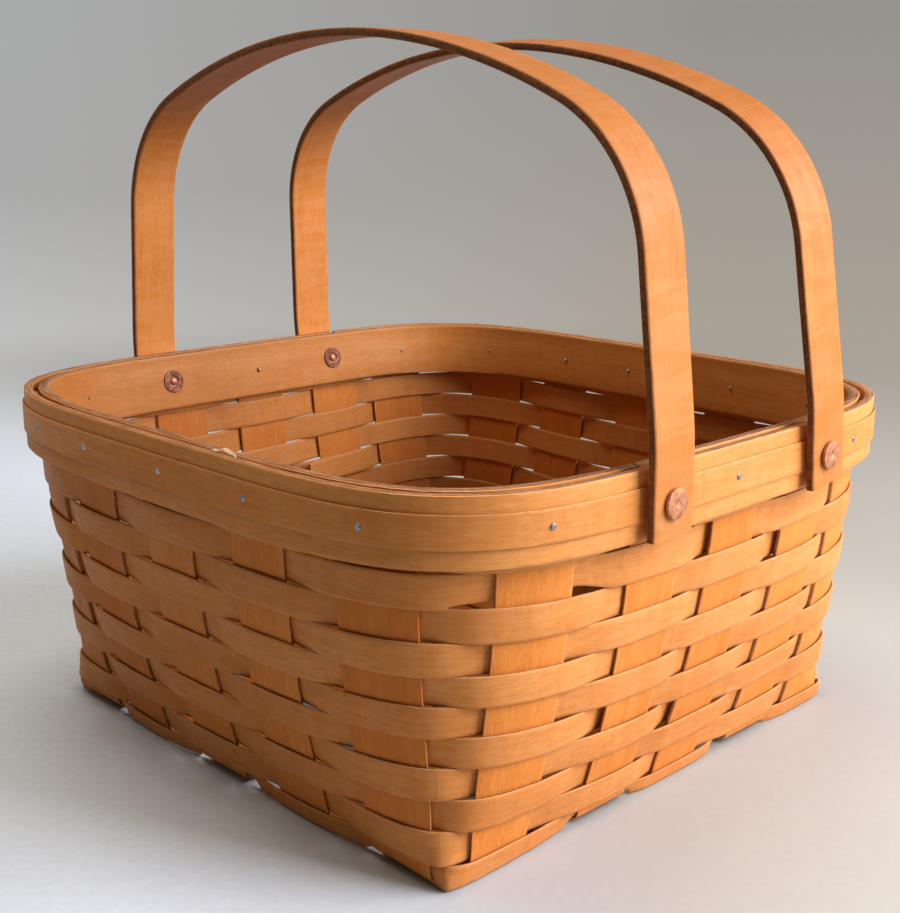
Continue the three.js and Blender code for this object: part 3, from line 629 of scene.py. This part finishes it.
# %% Make the bands and the trim strip
BACK, FRONT = 2, 0
BAND_HEIGHTS, TRIM_HEIGHTS = (BAND_BOTTOM, RIM_TOP), (TRIM_BOTTOM, TRIM_TOP)
BAND_FRAY, TRIM_FRAY, CORNERS_UP = 0.07, 0.05, 0.9
OUTER_SKIN = OUTER_BAND_HALF + 0.3
TRIM_SKIN = OUTER_SKIN + 0.8
OUTER_FACES = (OUTER_SKIN,) * 2, (OUTER_SKIN - 3.1,) * 2
TRIM_FACES = (TRIM_SKIN,) * 2, (OUTER_SKIN + 0.05,) * 2
INNER_FOOT = wall_half(BAND_BOTTOM) - OVER_CROWN - WEAVER_SKIN_T / 2 - 0.75
INNER_SKIN = (INNER_FOOT, INNER_FOOT + 0.7, INNER_FOOT + 4.2)
INNER_BACK = (INNER_FOOT - 3.1, INNER_FOOT - 1.5, INNER_FOOT + 0.5)
bands = [
    band("rim_outer_band", "outer_band", BAND_HEIGHTS, OUTER_FACES,
         (BACK, -HANDLE_X["right"] - 7), BAND_FRAY, rng.random(), CORNERS_UP),
    band("rim_trim_strip", "trim_strip", TRIM_HEIGHTS, TRIM_FACES,
         (BACK, -HANDLE_X["right"] + 6), TRIM_FRAY, rng.random(), CORNERS_UP),
    band("rim_inner_band", "inner_band", BAND_HEIGHTS, (INNER_SKIN, INNER_BACK),
         (FRONT, HANDLE_X["left"] - 7), BAND_FRAY, rng.random()),
]
print("bands", [len(b.data.polygons) for b in bands])

# %% The torn splinter on the left rim
SPLINTER_AT, SPLINTER_LONG, SPLINTER_W, SPLINTER_T = (-149.2, -30.5, 145.7), 15.0, 1.5, 0.35
SPLINTER_SWAY, SPLINTER_UP, SPLINTER_RIPPLE, SPLINTER_PLACE = 0.5, 1.5, 0.3, 500


def splinter():
    """A pale sliver that has lifted off the outer band's edge and curls back down to it."""
    u = np.linspace(0, 1, 16)[:, None]
    v, w, edge = section(1.0, SPLINTER_T, 3, wear=0.1)
    wide = SPLINTER_W * (0.25 + np.sin(np.pi * u) ** 0.7)
    x = SPLINTER_AT[0] - SPLINTER_SWAY * np.sin(2.2 * np.pi * u) + v * wide * 0.8
    y = SPLINTER_AT[1] - SPLINTER_LONG * u + 0 * v
    z = SPLINTER_AT[2] + SPLINTER_UP * np.sin(np.pi * u) + SPLINTER_RIPPLE * np.sin(5 * np.pi * u)
    rings = np.stack([x, y, z + w + v * wide * 0.4], -1)
    return swept("rim_splinter", rings, rings + SPLINTER_PLACE, edge, 0.2, "basket",
                 shade_inside=0.0)


torn = splinter()

# %% [markdown]
# ## The handles
# Each handle is one strip, steamed and bent round a form: straight legs that lean in, tight round
# shoulders and a slightly arched top. We draw half of its middle line from those parts, mirror it,
# and sweep the section along it. The legs end square, just below their rivets.

# %% The line of a handle
HANDLE_W, HANDLE_T, HANDLE_WEAR, HANDLE_ROUGH, HANDLE_WAVE = 22.5, 3.2, 0.45, 0.10, 0.05
PIVOT_Z = float(sum(b[2] for b in HANDLE_AT["left"]) / 2)
LEG_Y = TRIM_HALF + FIT + HANDLE_T / 2
LEG_BELOW_PIVOT, LEG_STRAIGHT_TO, LEG_BEND, LEG_STEP = 12.2, 22.0, 6.0, 3.0
SHOULDER_UP, SHOULDER_INSET, SHOULDER_R, ARCH_END_SLOPE = 84.6, 6.7, 62.0, 24.0
HANDLE_LEAN = {"left": -1.7, "right": -6.1}


def arc(y, u, r, faces):
    """Points round a centre, one for each direction that the strip's outer side faces."""
    return [(y + r * math.cos(face), u + r * math.sin(face), face) for face in faces]


def handle_half():
    """Points of the middle line from a leg's foot to the top: y, height over the pivot, tilt."""
    leg = SHOULDER_UP - LEG_STRAIGHT_TO
    tilt = math.atan(SHOULDER_INSET / leg)
    bend_from = LEG_STRAIGHT_TO - LEG_BEND
    line = [(LEG_Y, u, 0.0) for u in np.arange(-LEG_BELOW_PIVOT, bend_from, LEG_STEP)]
    line += [(LEG_Y - tilt * LEG_BEND * b * b, bend_from + 2 * LEG_BEND * b, tilt * b)
             for b in np.linspace(0, 1, 7)[:-1]]
    line += [(LEG_Y - SHOULDER_INSET * b, LEG_STRAIGHT_TO + leg * b, tilt)
             for b in np.linspace(0.1, 0.97, 18)]
    arch_from = math.pi / 2 - math.radians(ARCH_END_SLOPE)
    line += arc(LEG_Y - SHOULDER_INSET - SHOULDER_R * math.cos(tilt),
                SHOULDER_UP - SHOULDER_R * math.sin(tilt),
                SHOULDER_R, np.linspace(tilt, arch_from, 26))
    y, u, _ = line[-1]
    arch_r = y / math.cos(arch_from)
    line += arc(0.0, u - arch_r * math.sin(arch_from), arch_r,
                np.linspace(arch_from, math.pi / 2, 22)[1:])
    return np.array(line)


def handle(side, tint):
    back = handle_half()
    front = back * (-1, 1, -1) + (0, 0, math.pi)
    line = np.concatenate([front, back[-2::-1]])
    v, w, edge = section(HANDLE_W, HANDLE_T, 9, wear=HANDLE_WEAR)
    s = running_length(line[:, :2])
    rough = HANDLE_ROUGH * waves(s, (3.1, 5.3, 9.7, 23), 8 if side == "left" else 9)
    x = v * (1 + rough / HANDLE_W)[:, None]
    off = w + HANDLE_WAVE * waves(s, (41, 77), 4)[:, None]
    y, u = line[:, :1] + off * np.cos(line[:, 2:]), line[:, 1:2] + off * np.sin(line[:, 2:])
    lean = math.radians(HANDLE_LEAN[side])
    rings = np.stack([HANDLE_X[side] + x * math.cos(lean) + u * math.sin(lean), y,
                      PIVOT_Z - x * math.sin(lean) + u * math.cos(lean)], -1)
    return swept("bow_" + side, rings, in_the_wood(rings, s, v, w, tint), edge, tint,
                 side + "_handle", ["handle_" + side], shade_inside=0.0)


# %% Make the handles
handles = [handle("left", 0.35), handle("right", 0.62)]
print("handles", [tuple(round(c, 4) for c in h.dimensions) for h in handles])

# %% [markdown]
# ## Rivets, washers and brads
# The handles turn on copper rivets: a flat round head outside, with the small dimple the set
# leaves, and inside a grooved washer over which the end is hammered to a little dome. Rivets and
# washers stay with the basket, and the washers lie flat on the leaning inner band. Sixteen steel
# brads hold the rim. Their heads are driven just into the trim; their points come through and
# are bent over along the wood.

# %% Helpers: turn a profile about an axis, and make a piece of metal
TURN_STEPS, METAL_SHARP_FROM = 40, 42


def turned(profile_points, origin, outward, steps=TURN_STEPS, wobble=0.0, seed=0):
    """Points and faces of a closed turned body; a profile point is (radius, way outward)."""
    outward = np.array(outward, float)
    side = np.cross([0, 0, 1.0], outward)
    side /= np.linalg.norm(side)
    up = np.cross(outward, side)
    angles = np.arange(steps) * 2 * np.pi / steps
    uneven = 1 + wobble * waves(angles / (2 * np.pi), (1, 1 / 2, 1 / 3), seed)
    spokes = [k * (math.cos(a) * side + math.sin(a) * up) for a, k in zip(angles, uneven)]
    points, rings = [], []
    for r, way in profile_points:
        ring = spokes if r else spokes[:1]
        rings.append(range(len(points), len(points) + len(ring)))
        points += [origin + way * outward + r * spoke for spoke in ring]
    faces = []
    for low, high in zip(rings, rings[1:]):
        for j in range(steps):
            k = (j + 1) % steps
            quad = [low[j % len(low)], low[k % len(low)], high[k % len(high)], high[j % len(high)]]
            faces.append([q for n, q in enumerate(quad) if q != quad[n - 1]])
    return points, faces


def metal_piece(name, bodies, node):
    """One piece that stays with the basket, made of several closed bodies."""
    points, faces = [], []
    for body_points, body_faces in bodies:
        faces += [tuple(q + len(points) for q in face) for face in body_faces]
        points += body_points
    mesh = smooth_mesh(name, points, faces)
    mesh.set_sharp_from_angle(angle=math.radians(METAL_SHARP_FROM))
    return placed(name, mesh, "basket", [node])


def weld(mesh):
    """Joins the points that a profile visits twice."""
    solid = bmesh.new()
    solid.from_mesh(mesh)
    bmesh.ops.remove_doubles(solid, verts=solid.verts, dist=1e-6)
    solid.to_mesh(mesh)
    solid.free()


# %% Make the rivets and their washers
HEAD_R, HEAD_T, SHANK_R, PEEN_OUT = 5.6, 1.4, 1.9, 0.75
PEEN = [(0, 0), (0.9, 0.12), (1.55, 0.45), (1.85, 0.9), (SHANK_R, 1.6)]
HEAD_FACE = [(HEAD_R, 0.16), (HEAD_R - 0.05, 0.05), (HEAD_R - 0.18, 0), (3.0, 0), (1.5, 0),
             (1.3, 0.06), (0.95, 0.24), (0.5, 0.30), (0, 0.30)]
WASHER_R, WASHER_HOLE, WASHER_T, GROOVES = 5.5, 2.0, 1.0, (4.6, 3.9, 3.2)
LEAN_IN = (INNER_BACK[2] - INNER_BACK[0]) / (RIM_TOP - BAND_BOTTOM)
WASHER_SEAT = INNER_BACK[0] + LEAN_IN * (PIVOT_Z - BAND_BOTTOM) - 0.12


def rivet(side, wall_name, outward_y):
    """The outline runs from the hammered end inside the basket out to the dimpled head."""
    node = f"rivet_{side}_{wall_name}"
    low, high = frame_box(node)
    head = high[1] if outward_y > 0 else -low[1]
    seat, tip = head - HEAD_T, WASHER_SEAT - WASHER_T - PEEN_OUT
    outline = [(r, tip + up) for r, up in PEEN]
    outline += [(SHANK_R, seat), (HEAD_R - 0.3, seat), (HEAD_R, seat + 0.3)]
    outline += [(r, head - down) for r, down in HEAD_FACE]
    centre = np.array([HANDLE_X[side], 0, PIVOT_Z])
    body = turned(outline, centre, (0, outward_y, 0), wobble=0.010, seed=len(side) + len(wall_name))
    return metal_piece("copper_" + node, [body], node)


def washer(side, wall_name, outward_y):
    """A flat back on the band, a rounded rim and turned grooves in the face that shows."""
    face = [(WASHER_R, 0.22), (WASHER_R - 0.12, 0.05), (WASHER_R - 0.3, 0)]
    for groove in GROOVES:
        face += [(groove + 0.22, 0), (groove + 0.1, 0.14), (groove - 0.1, 0.14), (groove - 0.22, 0)]
    face += [(2.75, 0), (2.6, 0.12), (2.5, 0.45), (WASHER_HOLE, 0.5)]
    outline = [(WASHER_HOLE, 0), (WASHER_R - 0.15, 0), (WASHER_R, -0.15)]
    outline += [(r, deep - WASHER_T) for r, deep in face] + [(WASHER_HOLE, 0)]
    tilt = math.atan(LEAN_IN)
    centre = np.array([HANDLE_X[side], outward_y * WASHER_SEAT, PIVOT_Z])
    body = turned(outline, centre, (0, outward_y * math.cos(tilt), -math.sin(tilt)),
                  wobble=0.008, seed=3)
    node = f"washer_{side}_{wall_name}"
    piece = metal_piece("copper_" + node, [body], node)
    weld(piece.data)
    return piece


rivets, washers = [[make(side, wall_name, outward_y) for side in ("left", "right")
                    for wall_name, outward_y in (("front", -1), ("back", 1))]
                   for make in (rivet, washer)]
for piece in rivets + washers:
    face_outward(piece.data)
print("rivets", len(rivets), "washers", len(washers))

# %% Make the brads
OUTWARD = {"front": (0, -1, 0), "right": (1, 0, 0), "back": (0, 1, 0), "left": (-1, 0, 0)}
BRAD_NUMBERS = {"front": (1, 3, 5), "back": (1, 3, 5), "right": range(1, 6), "left": range(1, 6)}
BRAD_HEAD_R, BRAD_HEAD_T, BRAD_SUNK, BRAD_R, BRAD_TIP = 1.3, 0.6, 0.2, 0.45, 0.35
BRAD_DOME = [(0, BRAD_HEAD_T), (BRAD_HEAD_R - 0.1, BRAD_HEAD_T), (BRAD_HEAD_R, 0.45),
             (BRAD_HEAD_R - 0.12, 0.22), (0.9, 0.06), (0.45, 0), (0, 0)]
CLINCH, CLINCH_R, CLINCH_BACK, CLINCH_TURN = 1.0, 0.75, 1.2, 0.7


def tube(path, radius, steps=10):
    """A closed round rod along a path, drawn to a blunt point at its end."""
    path = np.array(path)
    along = np.gradient(path, axis=0)
    along /= np.linalg.norm(along, axis=1)[:, None]
    across = np.cross(along[0], [0.3, 0.4, 0.866])
    points = []
    for n, (p, d) in enumerate(zip(path, along)):
        across -= across.dot(d) * d
        across /= np.linalg.norm(across)
        second = np.cross(d, across)
        size = radius * (BRAD_TIP if n == len(path) - 1 else 1)
        for a in np.arange(steps) * 2 * np.pi / steps:
            points.append(p + size * (math.cos(a) * across + math.sin(a) * second))
    ends = [tuple(range(steps))[::-1], tuple(range(len(points) - steps, len(points)))]
    return points, skin(len(path), steps) + ends


def brad(wall_name, number):
    """A domed head sunk in the trim, a shank through the rim and a bent-over point."""
    low, high = frame_box(f"brad_{wall_name}_{number}")
    outward, down = np.array(OUTWARD[wall_name], float), np.array([0, 0, -1.0])
    middle = (low + high) / 2
    reach = abs((high - low) @ outward) / 2
    along = abs(middle @ np.cross(outward, (0, 0, 1)))
    trim_face = float(plan_depth(TRIM_SKIN, RIM_SQUARENESS, along))
    head = trim_face - BRAD_SUNK + BRAD_HEAD_T - middle @ outward
    dome = [(r, head - below) for r, below in BRAD_DOME]
    local = np.random.default_rng(700 + number + 10 * len(wall_name) + ord(wall_name[0]))
    turn = local.uniform(-CLINCH_TURN, CLINCH_TURN)
    lie = math.cos(turn) * down + math.sin(turn) * np.cross(outward, down)
    shank_end = -reach + CLINCH_BACK + CLINCH_R * 0.2
    path = [middle + outward * (head - BRAD_HEAD_T), middle + outward * shank_end]
    for a in np.linspace(0.3, math.pi / 2 + 0.1, 5):
        path.append(middle + outward * (shank_end - CLINCH_R * math.sin(a))
                    + lie * CLINCH_R * (1 - math.cos(a)))
    path.append(path[-1] + lie * CLINCH * 0.6 + outward * 0.1)
    path.append(path[-1] + lie * CLINCH * 0.4 + outward * 0.15)
    bodies = [turned(dome, middle, outward, steps=20, wobble=0.03, seed=number), tube(path, BRAD_R)]
    return metal_piece(f"nail_{wall_name}_{number}", bodies,
                       f"brad_{wall_name}_{number}")


nails = [brad(wall_name, number) for wall_name, numbers in BRAD_NUMBERS.items()
         for number in numbers]
print("nails", len(nails))

# %% [markdown]
# ## The wood
# The splints are pale hardwood stained honey orange under a thin satin finish. Three things show
# on them: long fine fibres, broad soft shades, and short dark flecks. All are noise stretched
# along the grain, read from the place in the wood that each mesh carries, so the three scales of
# a noise are its repeats per metre along, across and through the grain. The tint shifts each
# splint a little, and the edge value lets the stain look thin and chipped where the wood was cut.
# Inside the basket shade is painted into the wood's colour, darker still with depth, and a handle
# has painted shade towards its top.

# %% Helpers for node materials


class Shader:
    """A small wrapper that makes nodes and links in one material, or in the world."""

    def __init__(self, owner, output="OutputMaterial"):
        self.owner = owner
        owner.use_nodes = True
        self.tree = owner.node_tree
        self.tree.nodes.clear()
        self.output = self.tree.nodes.new("ShaderNode" + output).inputs["Surface"]

    def put(self, value, target):
        if hasattr(value, "is_output"):
            self.tree.links.new(value, target)
        elif target.type == "RGBA":
            target.default_value = (*value, 1)
        else:
            target.default_value = value

    def node(self, kind, inputs, result, **settings):
        """Makes a node, puts constants or links at its inputs and gives one of its outputs."""
        made = self.tree.nodes.new("ShaderNode" + kind)
        for key, value in settings.items():
            setattr(made, key, value)
        for key, value in inputs.items():
            self.put(value, made.inputs[key])
        return made.outputs[result]

    def read(self, name):
        result = "Vector" if name == "grain" else "Fac"
        return self.node("Attribute", {}, result, attribute_name=name)

    def place(self, kind="Object"):
        return self.node("TexCoord", {}, kind)

    def part(self, vector, axis):
        return self.node("SeparateXYZ", {0: vector}, axis)

    def noise(self, vector, scale, detail=3.0, rough=0.55, warp=0.0):
        stretched = self.node("Mapping", {"Vector": vector, "Scale": scale}, "Vector")
        inputs = {"Vector": stretched, "Scale": 1.0, "Detail": detail, "Roughness": rough}
        return self.node("TexNoise", {**inputs, "Distortion": warp}, "Fac")

    def remap(self, value, low, high, new_low=0.0, new_high=1.0, curve="SMOOTHSTEP"):
        inputs = {"Value": value, "From Min": low, "From Max": high, "To Min": new_low,
                  "To Max": new_high}
        return self.node("MapRange", inputs, "Result", interpolation_type=curve)

    def math(self, kind, a, b=0.0):
        return self.node("Math", {0: a, 1: b}, 0, operation=kind)

    def sum(self, *terms):
        """Adds up (value, weight) pairs."""
        total, *more = [self.math("MULTIPLY", value, weight) for value, weight in terms]
        for part in more:
            total = self.math("ADD", total, part)
        return total

    def mix(self, fac, a, b, blend="MIX"):
        return self.node("Mix", {"Factor": fac, "A": a, "B": b}, "Result",
                         data_type="RGBA", blend_type=blend)

    def bump(self, height, distance, strength, under=None):
        inputs = {"Height": height, "Distance": distance, "Strength": strength}
        if under:
            inputs["Normal"] = under
        return self.node("Bump", inputs, "Normal")

    def coat(self, colour, roughness, **more):
        inputs = {key.replace("_", " "): value for key, value in more.items()}
        inputs.update({"Base Color": colour, "Roughness": roughness})
        return self.node("BsdfPrincipled", inputs, "BSDF")

    def surface(self, *looks, **more):
        self.put(self.coat(*looks, **more), self.output)
        return self.owner

    def seen_ray(self):
        """1 for rays that the camera sees, straight or mirrored, and 0 for those that light."""
        camera, through, mirrored = (self.node("LightPath", {}, f"Is {kind} Ray")
                                     for kind in ("Camera", "Transmission", "Glossy"))
        return self.math("MAXIMUM", self.math("MAXIMUM", camera, through), mirrored)

    def choose(self, fac, first, second):
        """Ends the tree in one shader where fac is 0 and in the other where it is 1."""
        inputs = {0: fac, 1: first, 2: second}
        self.put(self.node("MixShader", inputs, "Shader"), self.output)


# %% Helpers: a stained face and a cut edge
# Painted shade: inner faces darker, more so low inside the basket, and a handle darker towards its
# top.
INNER_PAINTED_SHADE = (0.57, 0.55, 0.49)
DEEP_PAINTED_SHADE, DEEP_FROM_TO = (0.56, 0.52, 0.48), (0.095, 0.02)
TOP_SHADE_FROM_TO = (0.20, 0.285)
CURL_SHADE, EDGE_SHARE = (0.9, 0.62, 0.36), 0.55


def wood(name, pale, deep, fleck, fleck_share, figure=0.0, edge_colour=(0.62, 0.36, 0.16),
         top_shade=None):
    """A stained splint's face: pale and deep are the ends of its range of shades."""
    make = Shader(bpy.data.materials.new(name))
    place = make.read("grain")
    inner = make.read("inner_side")
    height = make.part(make.place(), "Z")
    fibre = make.noise(place, (95, 1500, 1500), 4, 0.65)
    streak = make.noise(place, (14, 240, 240), 3, 0.55, 0.5)
    broad = make.noise(place, (12, 50, 50), 3, 0.55, 0.8)
    mottle = make.noise(place, (190, 430, 430), 4, 0.65, 0.3)
    specks = make.noise(place, (380, 2300, 1200), 3, 0.6)
    chips = make.noise(place, (160, 600, 600), 3, 0.6)
    body = make.sum((broad, 0.60), (streak, 0.35), (mottle, 0.45), (make.read("tint"), 0.25))
    colour = make.mix(make.remap(body, 0.55, 1.10), pale, deep)
    lines = make.remap(fibre, 0.42, 0.70, 0.0, 0.42)
    colour = make.mix(lines, colour, make.mix(0.45, deep, fleck))
    colour = make.mix(make.remap(specks, 0.56, 0.70, 0.0, fleck_share), colour, fleck)
    if figure:
        curl = make.remap(make.noise(place, (150, 30, 30), 2, 0.4, 1.2), 0.35, 0.65, 0.0, figure)
        colour = make.mix(curl, colour, make.mix(0.5, pale, CURL_SHADE))
    worn = make.math("MULTIPLY", make.read("edge"), make.remap(chips, 0.40, 0.62))
    colour = make.mix(make.math("MULTIPLY", worn, EDGE_SHARE), colour, edge_colour)
    # Painted shade on the inner faces of the splints and bands.
    colour = make.mix(inner, colour, INNER_PAINTED_SHADE, "MULTIPLY")
    # Painted shade, more of it towards the bottom inside the basket.
    deep_down = make.math("MULTIPLY", inner, make.remap(height, *DEEP_FROM_TO))
    colour = make.mix(deep_down, colour, DEEP_PAINTED_SHADE, "MULTIPLY")
    # Painted shade towards the top of a handle.
    if top_shade:
        colour = make.mix(make.remap(height, *TOP_SHADE_FROM_TO), colour, top_shade, "MULTIPLY")
    rough = make.remap(make.math("ADD", broad, fibre), 0.7, 1.4, 0.41, 0.61)
    normal = make.bump(fibre, 0.00007, 0.6)
    normal = make.bump(mottle, 0.00012, 0.35, normal)
    normal = make.bump(specks, 0.00005, 0.4, normal)
    return make.surface(colour, rough, Normal=normal, Specular_IOR_Level=0.16)


def sawn(name, base, dark, lines=0.6):
    """A cut edge: short torn fibres and saw marks."""
    make = Shader(bpy.data.materials.new(name))
    place = make.read("grain")
    torn = make.noise(place, (90, 1200, 1200), 4, 0.7)
    marks = make.noise(place, (700, 60, 400), 3, 0.6, 0.5)
    blend = make.sum((torn, lines), (marks, 1 - lines), (make.read("tint"), 0.1))
    colour = make.mix(make.remap(blend, 0.40, 0.68), base, dark)
    normal = make.bump(torn, 0.00016, 0.8)
    normal = make.bump(marks, 0.0001, 0.6, normal)
    return make.surface(colour, 0.7, Normal=normal, Specular_IOR_Level=0.3)


# %% Give the splints their wood
upright_wood = wood("upright_splint", (0.906, 0.333, 0.067), (0.749, 0.231, 0.035),
                    (0.421, 0.108, 0.019), 0.38)
weaver_wood = wood("weaver_splint", (0.896, 0.373, 0.103), (0.727, 0.259, 0.057),
                   (0.411, 0.119, 0.028), 0.32, figure=0.12)
band_wood = wood("rim_band", (0.887, 0.380, 0.103), (0.731, 0.266, 0.059),
                 (0.397, 0.113, 0.028), 0.32, figure=0.12)
handle_wood = wood("handle_strip", (0.69, 0.271, 0.062), (0.578, 0.198, 0.038),
                   (0.327, 0.093, 0.022), 0.36, figure=0.14, edge_colour=(0.34, 0.13, 0.04),
                   top_shade=(0.58, 0.55, 0.52))
splint_edge = sawn("splint_cut_edge", (0.50, 0.28, 0.14), (0.18, 0.07, 0.03))
band_edge = sawn("rim_cut_edge", (0.38, 0.19, 0.085), (0.13, 0.05, 0.02), lines=0.75)
handle_edge = sawn("handle_cut_edge", (0.30, 0.115, 0.035), (0.12, 0.04, 0.012), lines=0.45)
raw_wood = sawn("raw_splinter", (0.80, 0.62, 0.42), (0.52, 0.32, 0.17), lines=0.8)
finish_with(uprights, upright_wood, splint_edge)
finish_with(weavers, weaver_wood, splint_edge)
finish_with(bands, band_wood, band_edge)
finish_with([torn], raw_wood, raw_wood)
finish_with(handles, handle_wood, handle_edge)

# %% [markdown]
# ## The metal
# The copper rivets have gone brown and satin, with soft blotches, and the washers inside are darker.
# The brads are plain steel wire, grey and a little dull. All carry fine scratches from hammering.

# %% Give the rivets, washers and brads their metal
SCRATCH = 0.00002


def metal(name, bright, dull, rough_low, rough_high):
    make = Shader(bpy.data.materials.new(name))
    place = make.place()
    blotch = make.noise(place, (420, 420, 420), 4, 0.6)
    fine = make.noise(place, (2600, 2600, 2600), 3, 0.6)
    colour = make.mix(make.remap(blotch, 0.38, 0.64), bright, dull)
    rough = make.remap(make.math("ADD", blotch, fine), 0.7, 1.3, rough_low, rough_high)
    normal = make.bump(blotch, 0.0001, 0.5)
    normal = make.bump(fine, SCRATCH, 0.6, normal)
    return make.surface(colour, rough, Normal=normal, Metallic=1.0)


finish_with(rivets, metal("aged_copper", (0.62, 0.305, 0.175), (0.44, 0.19, 0.10), 0.56, 0.70))
finish_with(washers, metal("dark_copper", (0.27, 0.115, 0.075), (0.14, 0.055, 0.035), 0.42, 0.6))
finish_with(nails, metal("brad_steel", (0.36, 0.38, 0.41), (0.17, 0.18, 0.20), 0.32, 0.55))

# %% [markdown]
# ## Floor, light and camera
# The basket stands on a pale floor that runs back into a soft grey backdrop. The kind of ray tells
# what the camera sees of both, apart from the plain shades that light the basket: the backdrop is
# cool on the left and darker on the right, and the floor carries painted light, lighter and cool on
# the left, darker on the right and darker still far back. Under the basket and round its foot a
# shadow is painted into the floor. One large soft light from the right and front lights the front
# wall and leaves the left wall in its own shade, a weaker one stands overhead, and the camera looks
# a little down at the near corner.

# %% The floor
FLOOR_R, FLOOR_STEPS, FADE_FROM, FADE_TO = 1.6, 96, 0.45, 1.25
UNDER_FROM, UNDER_TO, UNDER_PAINTED_SHADOW = 0.108, 0.129, (0.20, 0.18, 0.17)
FLOOR_LEFT_PAINTED_LIGHT, FLOOR_RIGHT_PAINTED_LIGHT, FLOOR_FAR_PAINTED_SHADE = (0.69, 0.81, 0.97), (0.470, 0.492, 0.472), (0.355, 0.36, 0.34)
FLOOR_DUST, FLOOR_PLAIN = (0.30, 0.29, 0.28), (0.38, 0.38, 0.38)
floor_mesh = bpy.data.meshes.new("studio_floor")
edge_points = [(FLOOR_R * math.cos(a), FLOOR_R * math.sin(a), 0.0)
               for a in np.arange(FLOOR_STEPS) * 2 * math.pi / FLOOR_STEPS]
floor_mesh.from_pydata(edge_points, [], [tuple(range(FLOOR_STEPS))])
floor = in_scene("studio_floor", floor_mesh)

paint = Shader(bpy.data.materials.new("studio_floor_paint"))
place = paint.place()
x, y = paint.part(place, "X"), paint.part(place, "Y")
reach = paint.node("VectorMath", {0: place}, "Value", operation="LENGTH")
# The floor's seen colour carries painted light: lighter and cool on the left, darker on the right
# and far back.
to_right = paint.remap(paint.math("SUBTRACT", x, y), -0.20, 0.14)
seen_light_and_dust = paint.mix(to_right, FLOOR_LEFT_PAINTED_LIGHT, FLOOR_RIGHT_PAINTED_LIGHT)
seen_light_and_dust = paint.mix(paint.remap(x, 0.08, 0.36), seen_light_and_dust, FLOOR_FAR_PAINTED_SHADE)
speckle = paint.remap(paint.noise(place, (260, 260, 260), 4, 0.6), 0.3, 0.7, 0.0, 0.10)
seen_light_and_dust = paint.mix(speckle, seen_light_and_dust, FLOOR_DUST)
floor_colour = paint.mix(paint.seen_ray(), FLOOR_PLAIN, seen_light_and_dust)
# Painted shadow under the basket and round its foot, for seen and lighting rays alike.
out = paint.math("MAXIMUM", paint.math("ABSOLUTE", x), paint.math("ABSOLUTE", y))
under = paint.remap(out, UNDER_TO, UNDER_FROM)
floor_colour = paint.mix(under, floor_colour, UNDER_PAINTED_SHADOW, "MULTIPLY")
paint.choose(paint.remap(reach, FADE_FROM, FADE_TO),
             paint.coat(floor_colour, 0.7, Specular_IOR_Level=0.2),
             paint.node("BsdfTransparent", {}, "BSDF"))
floor_mesh.materials.append(paint.owner)

# %% The backdrop and the soft fill
LEFT_SKY = [(0.0, (0.60, 0.60, 0.60)), (0.38, (0.53, 0.53, 0.53)), (0.62, (0.41, 0.41, 0.41)),
            (0.90, (0.41, 0.415, 0.42))]
RIGHT_SKY = [(0.0, (0.62, 0.57, 0.49)), (0.38, (0.40, 0.36, 0.305)), (0.62, (0.36, 0.33, 0.29)),
             (0.90, (0.31, 0.295, 0.27))]
FILL_COLOUR, FILL_POWER = (1.0, 0.83, 0.64), 0.08
world = bpy.data.worlds.new("studio")
bpy.context.scene.world = world
air = Shader(world, "OutputWorld")


def ramp(value, stops):
    colour = air.node("ValToRGB", {"Fac": value}, "Color")
    elements = colour.node.color_ramp.elements
    while len(elements) < len(stops):
        elements.new(0.5)
    for element, (position, shade) in zip(elements, stops):
        element.position = position
        element.color = (*shade, 1)
    return colour


def background(colour, power):
    return air.node("Background", {"Color": colour, "Strength": power}, "Background")


way = air.place("Generated")
across = air.math("SUBTRACT", air.part(way, "X"), air.part(way, "Y"))
to_right = air.remap(across, -0.45, 0.25, curve="LINEAR")
up_sky = air.remap(air.part(way, "Z"), -0.30, 0.10, curve="LINEAR")
sky = air.mix(to_right, ramp(up_sky, LEFT_SKY), ramp(up_sky, RIGHT_SKY))
air.choose(air.seen_ray(), background(FILL_COLOUR, FILL_POWER), background(sky, 1.0))

# %% The lights
AIM_AT = Vector((0, 0, 0.1))


def soft_light(name, direction, distance, power, colour):
    """A lamp one metre square that looks at the basket from a direction."""
    lamp = bpy.data.lights.new(name, "AREA")
    lamp.shape, lamp.size, lamp.size_y = "RECTANGLE", 1.0, 1.0
    lamp.energy, lamp.color = power, colour
    back = Vector(direction).normalized()
    facing = back.to_track_quat("Z", "Y").to_matrix().to_4x4()
    in_scene(name, lamp).matrix_world = Matrix.Translation(AIM_AT + back * distance) @ facing


soft_light("key_light", (0.48, -0.72, 0.50), 1.2, 29.5, (1.0, 0.955, 1.0))
soft_light("top_light", (-0.08, 0.22, 0.97), 1.4, 15.7, (1.0, 0.85, 0.68))

# %% The camera
CAMERA_AT = (-0.42317, -0.42120, 0.26059)
YAW, PITCH, ROLL = (math.radians(a) for a in (45.19, 13.894, 0.53))
FOCAL_PIXELS, IMAGE_WIDTH, SENSOR_WIDTH = 1373.16, 900, 36.0
lens = bpy.data.cameras.new("photo_camera")
lens.sensor_width, lens.sensor_fit = SENSOR_WIDTH, "HORIZONTAL"
lens.lens = FOCAL_PIXELS / IMAGE_WIDTH * SENSOR_WIDTH
lens.clip_start = 0.01
camera = in_scene("photo_camera", lens)
camera.matrix_world = (Matrix.Translation(CAMERA_AT) @ Matrix.Rotation(-YAW, 4, "Z")
                       @ Matrix.Rotation(math.pi / 2 - PITCH, 4, "X")
                       @ Matrix.Rotation(ROLL, 4, "Z"))
bpy.context.scene.camera = camera
bpy.context.scene.view_settings.view_transform = "Standard"

# %% Count the faces and finish
print("faces", sum(n for _, n in piece_log))
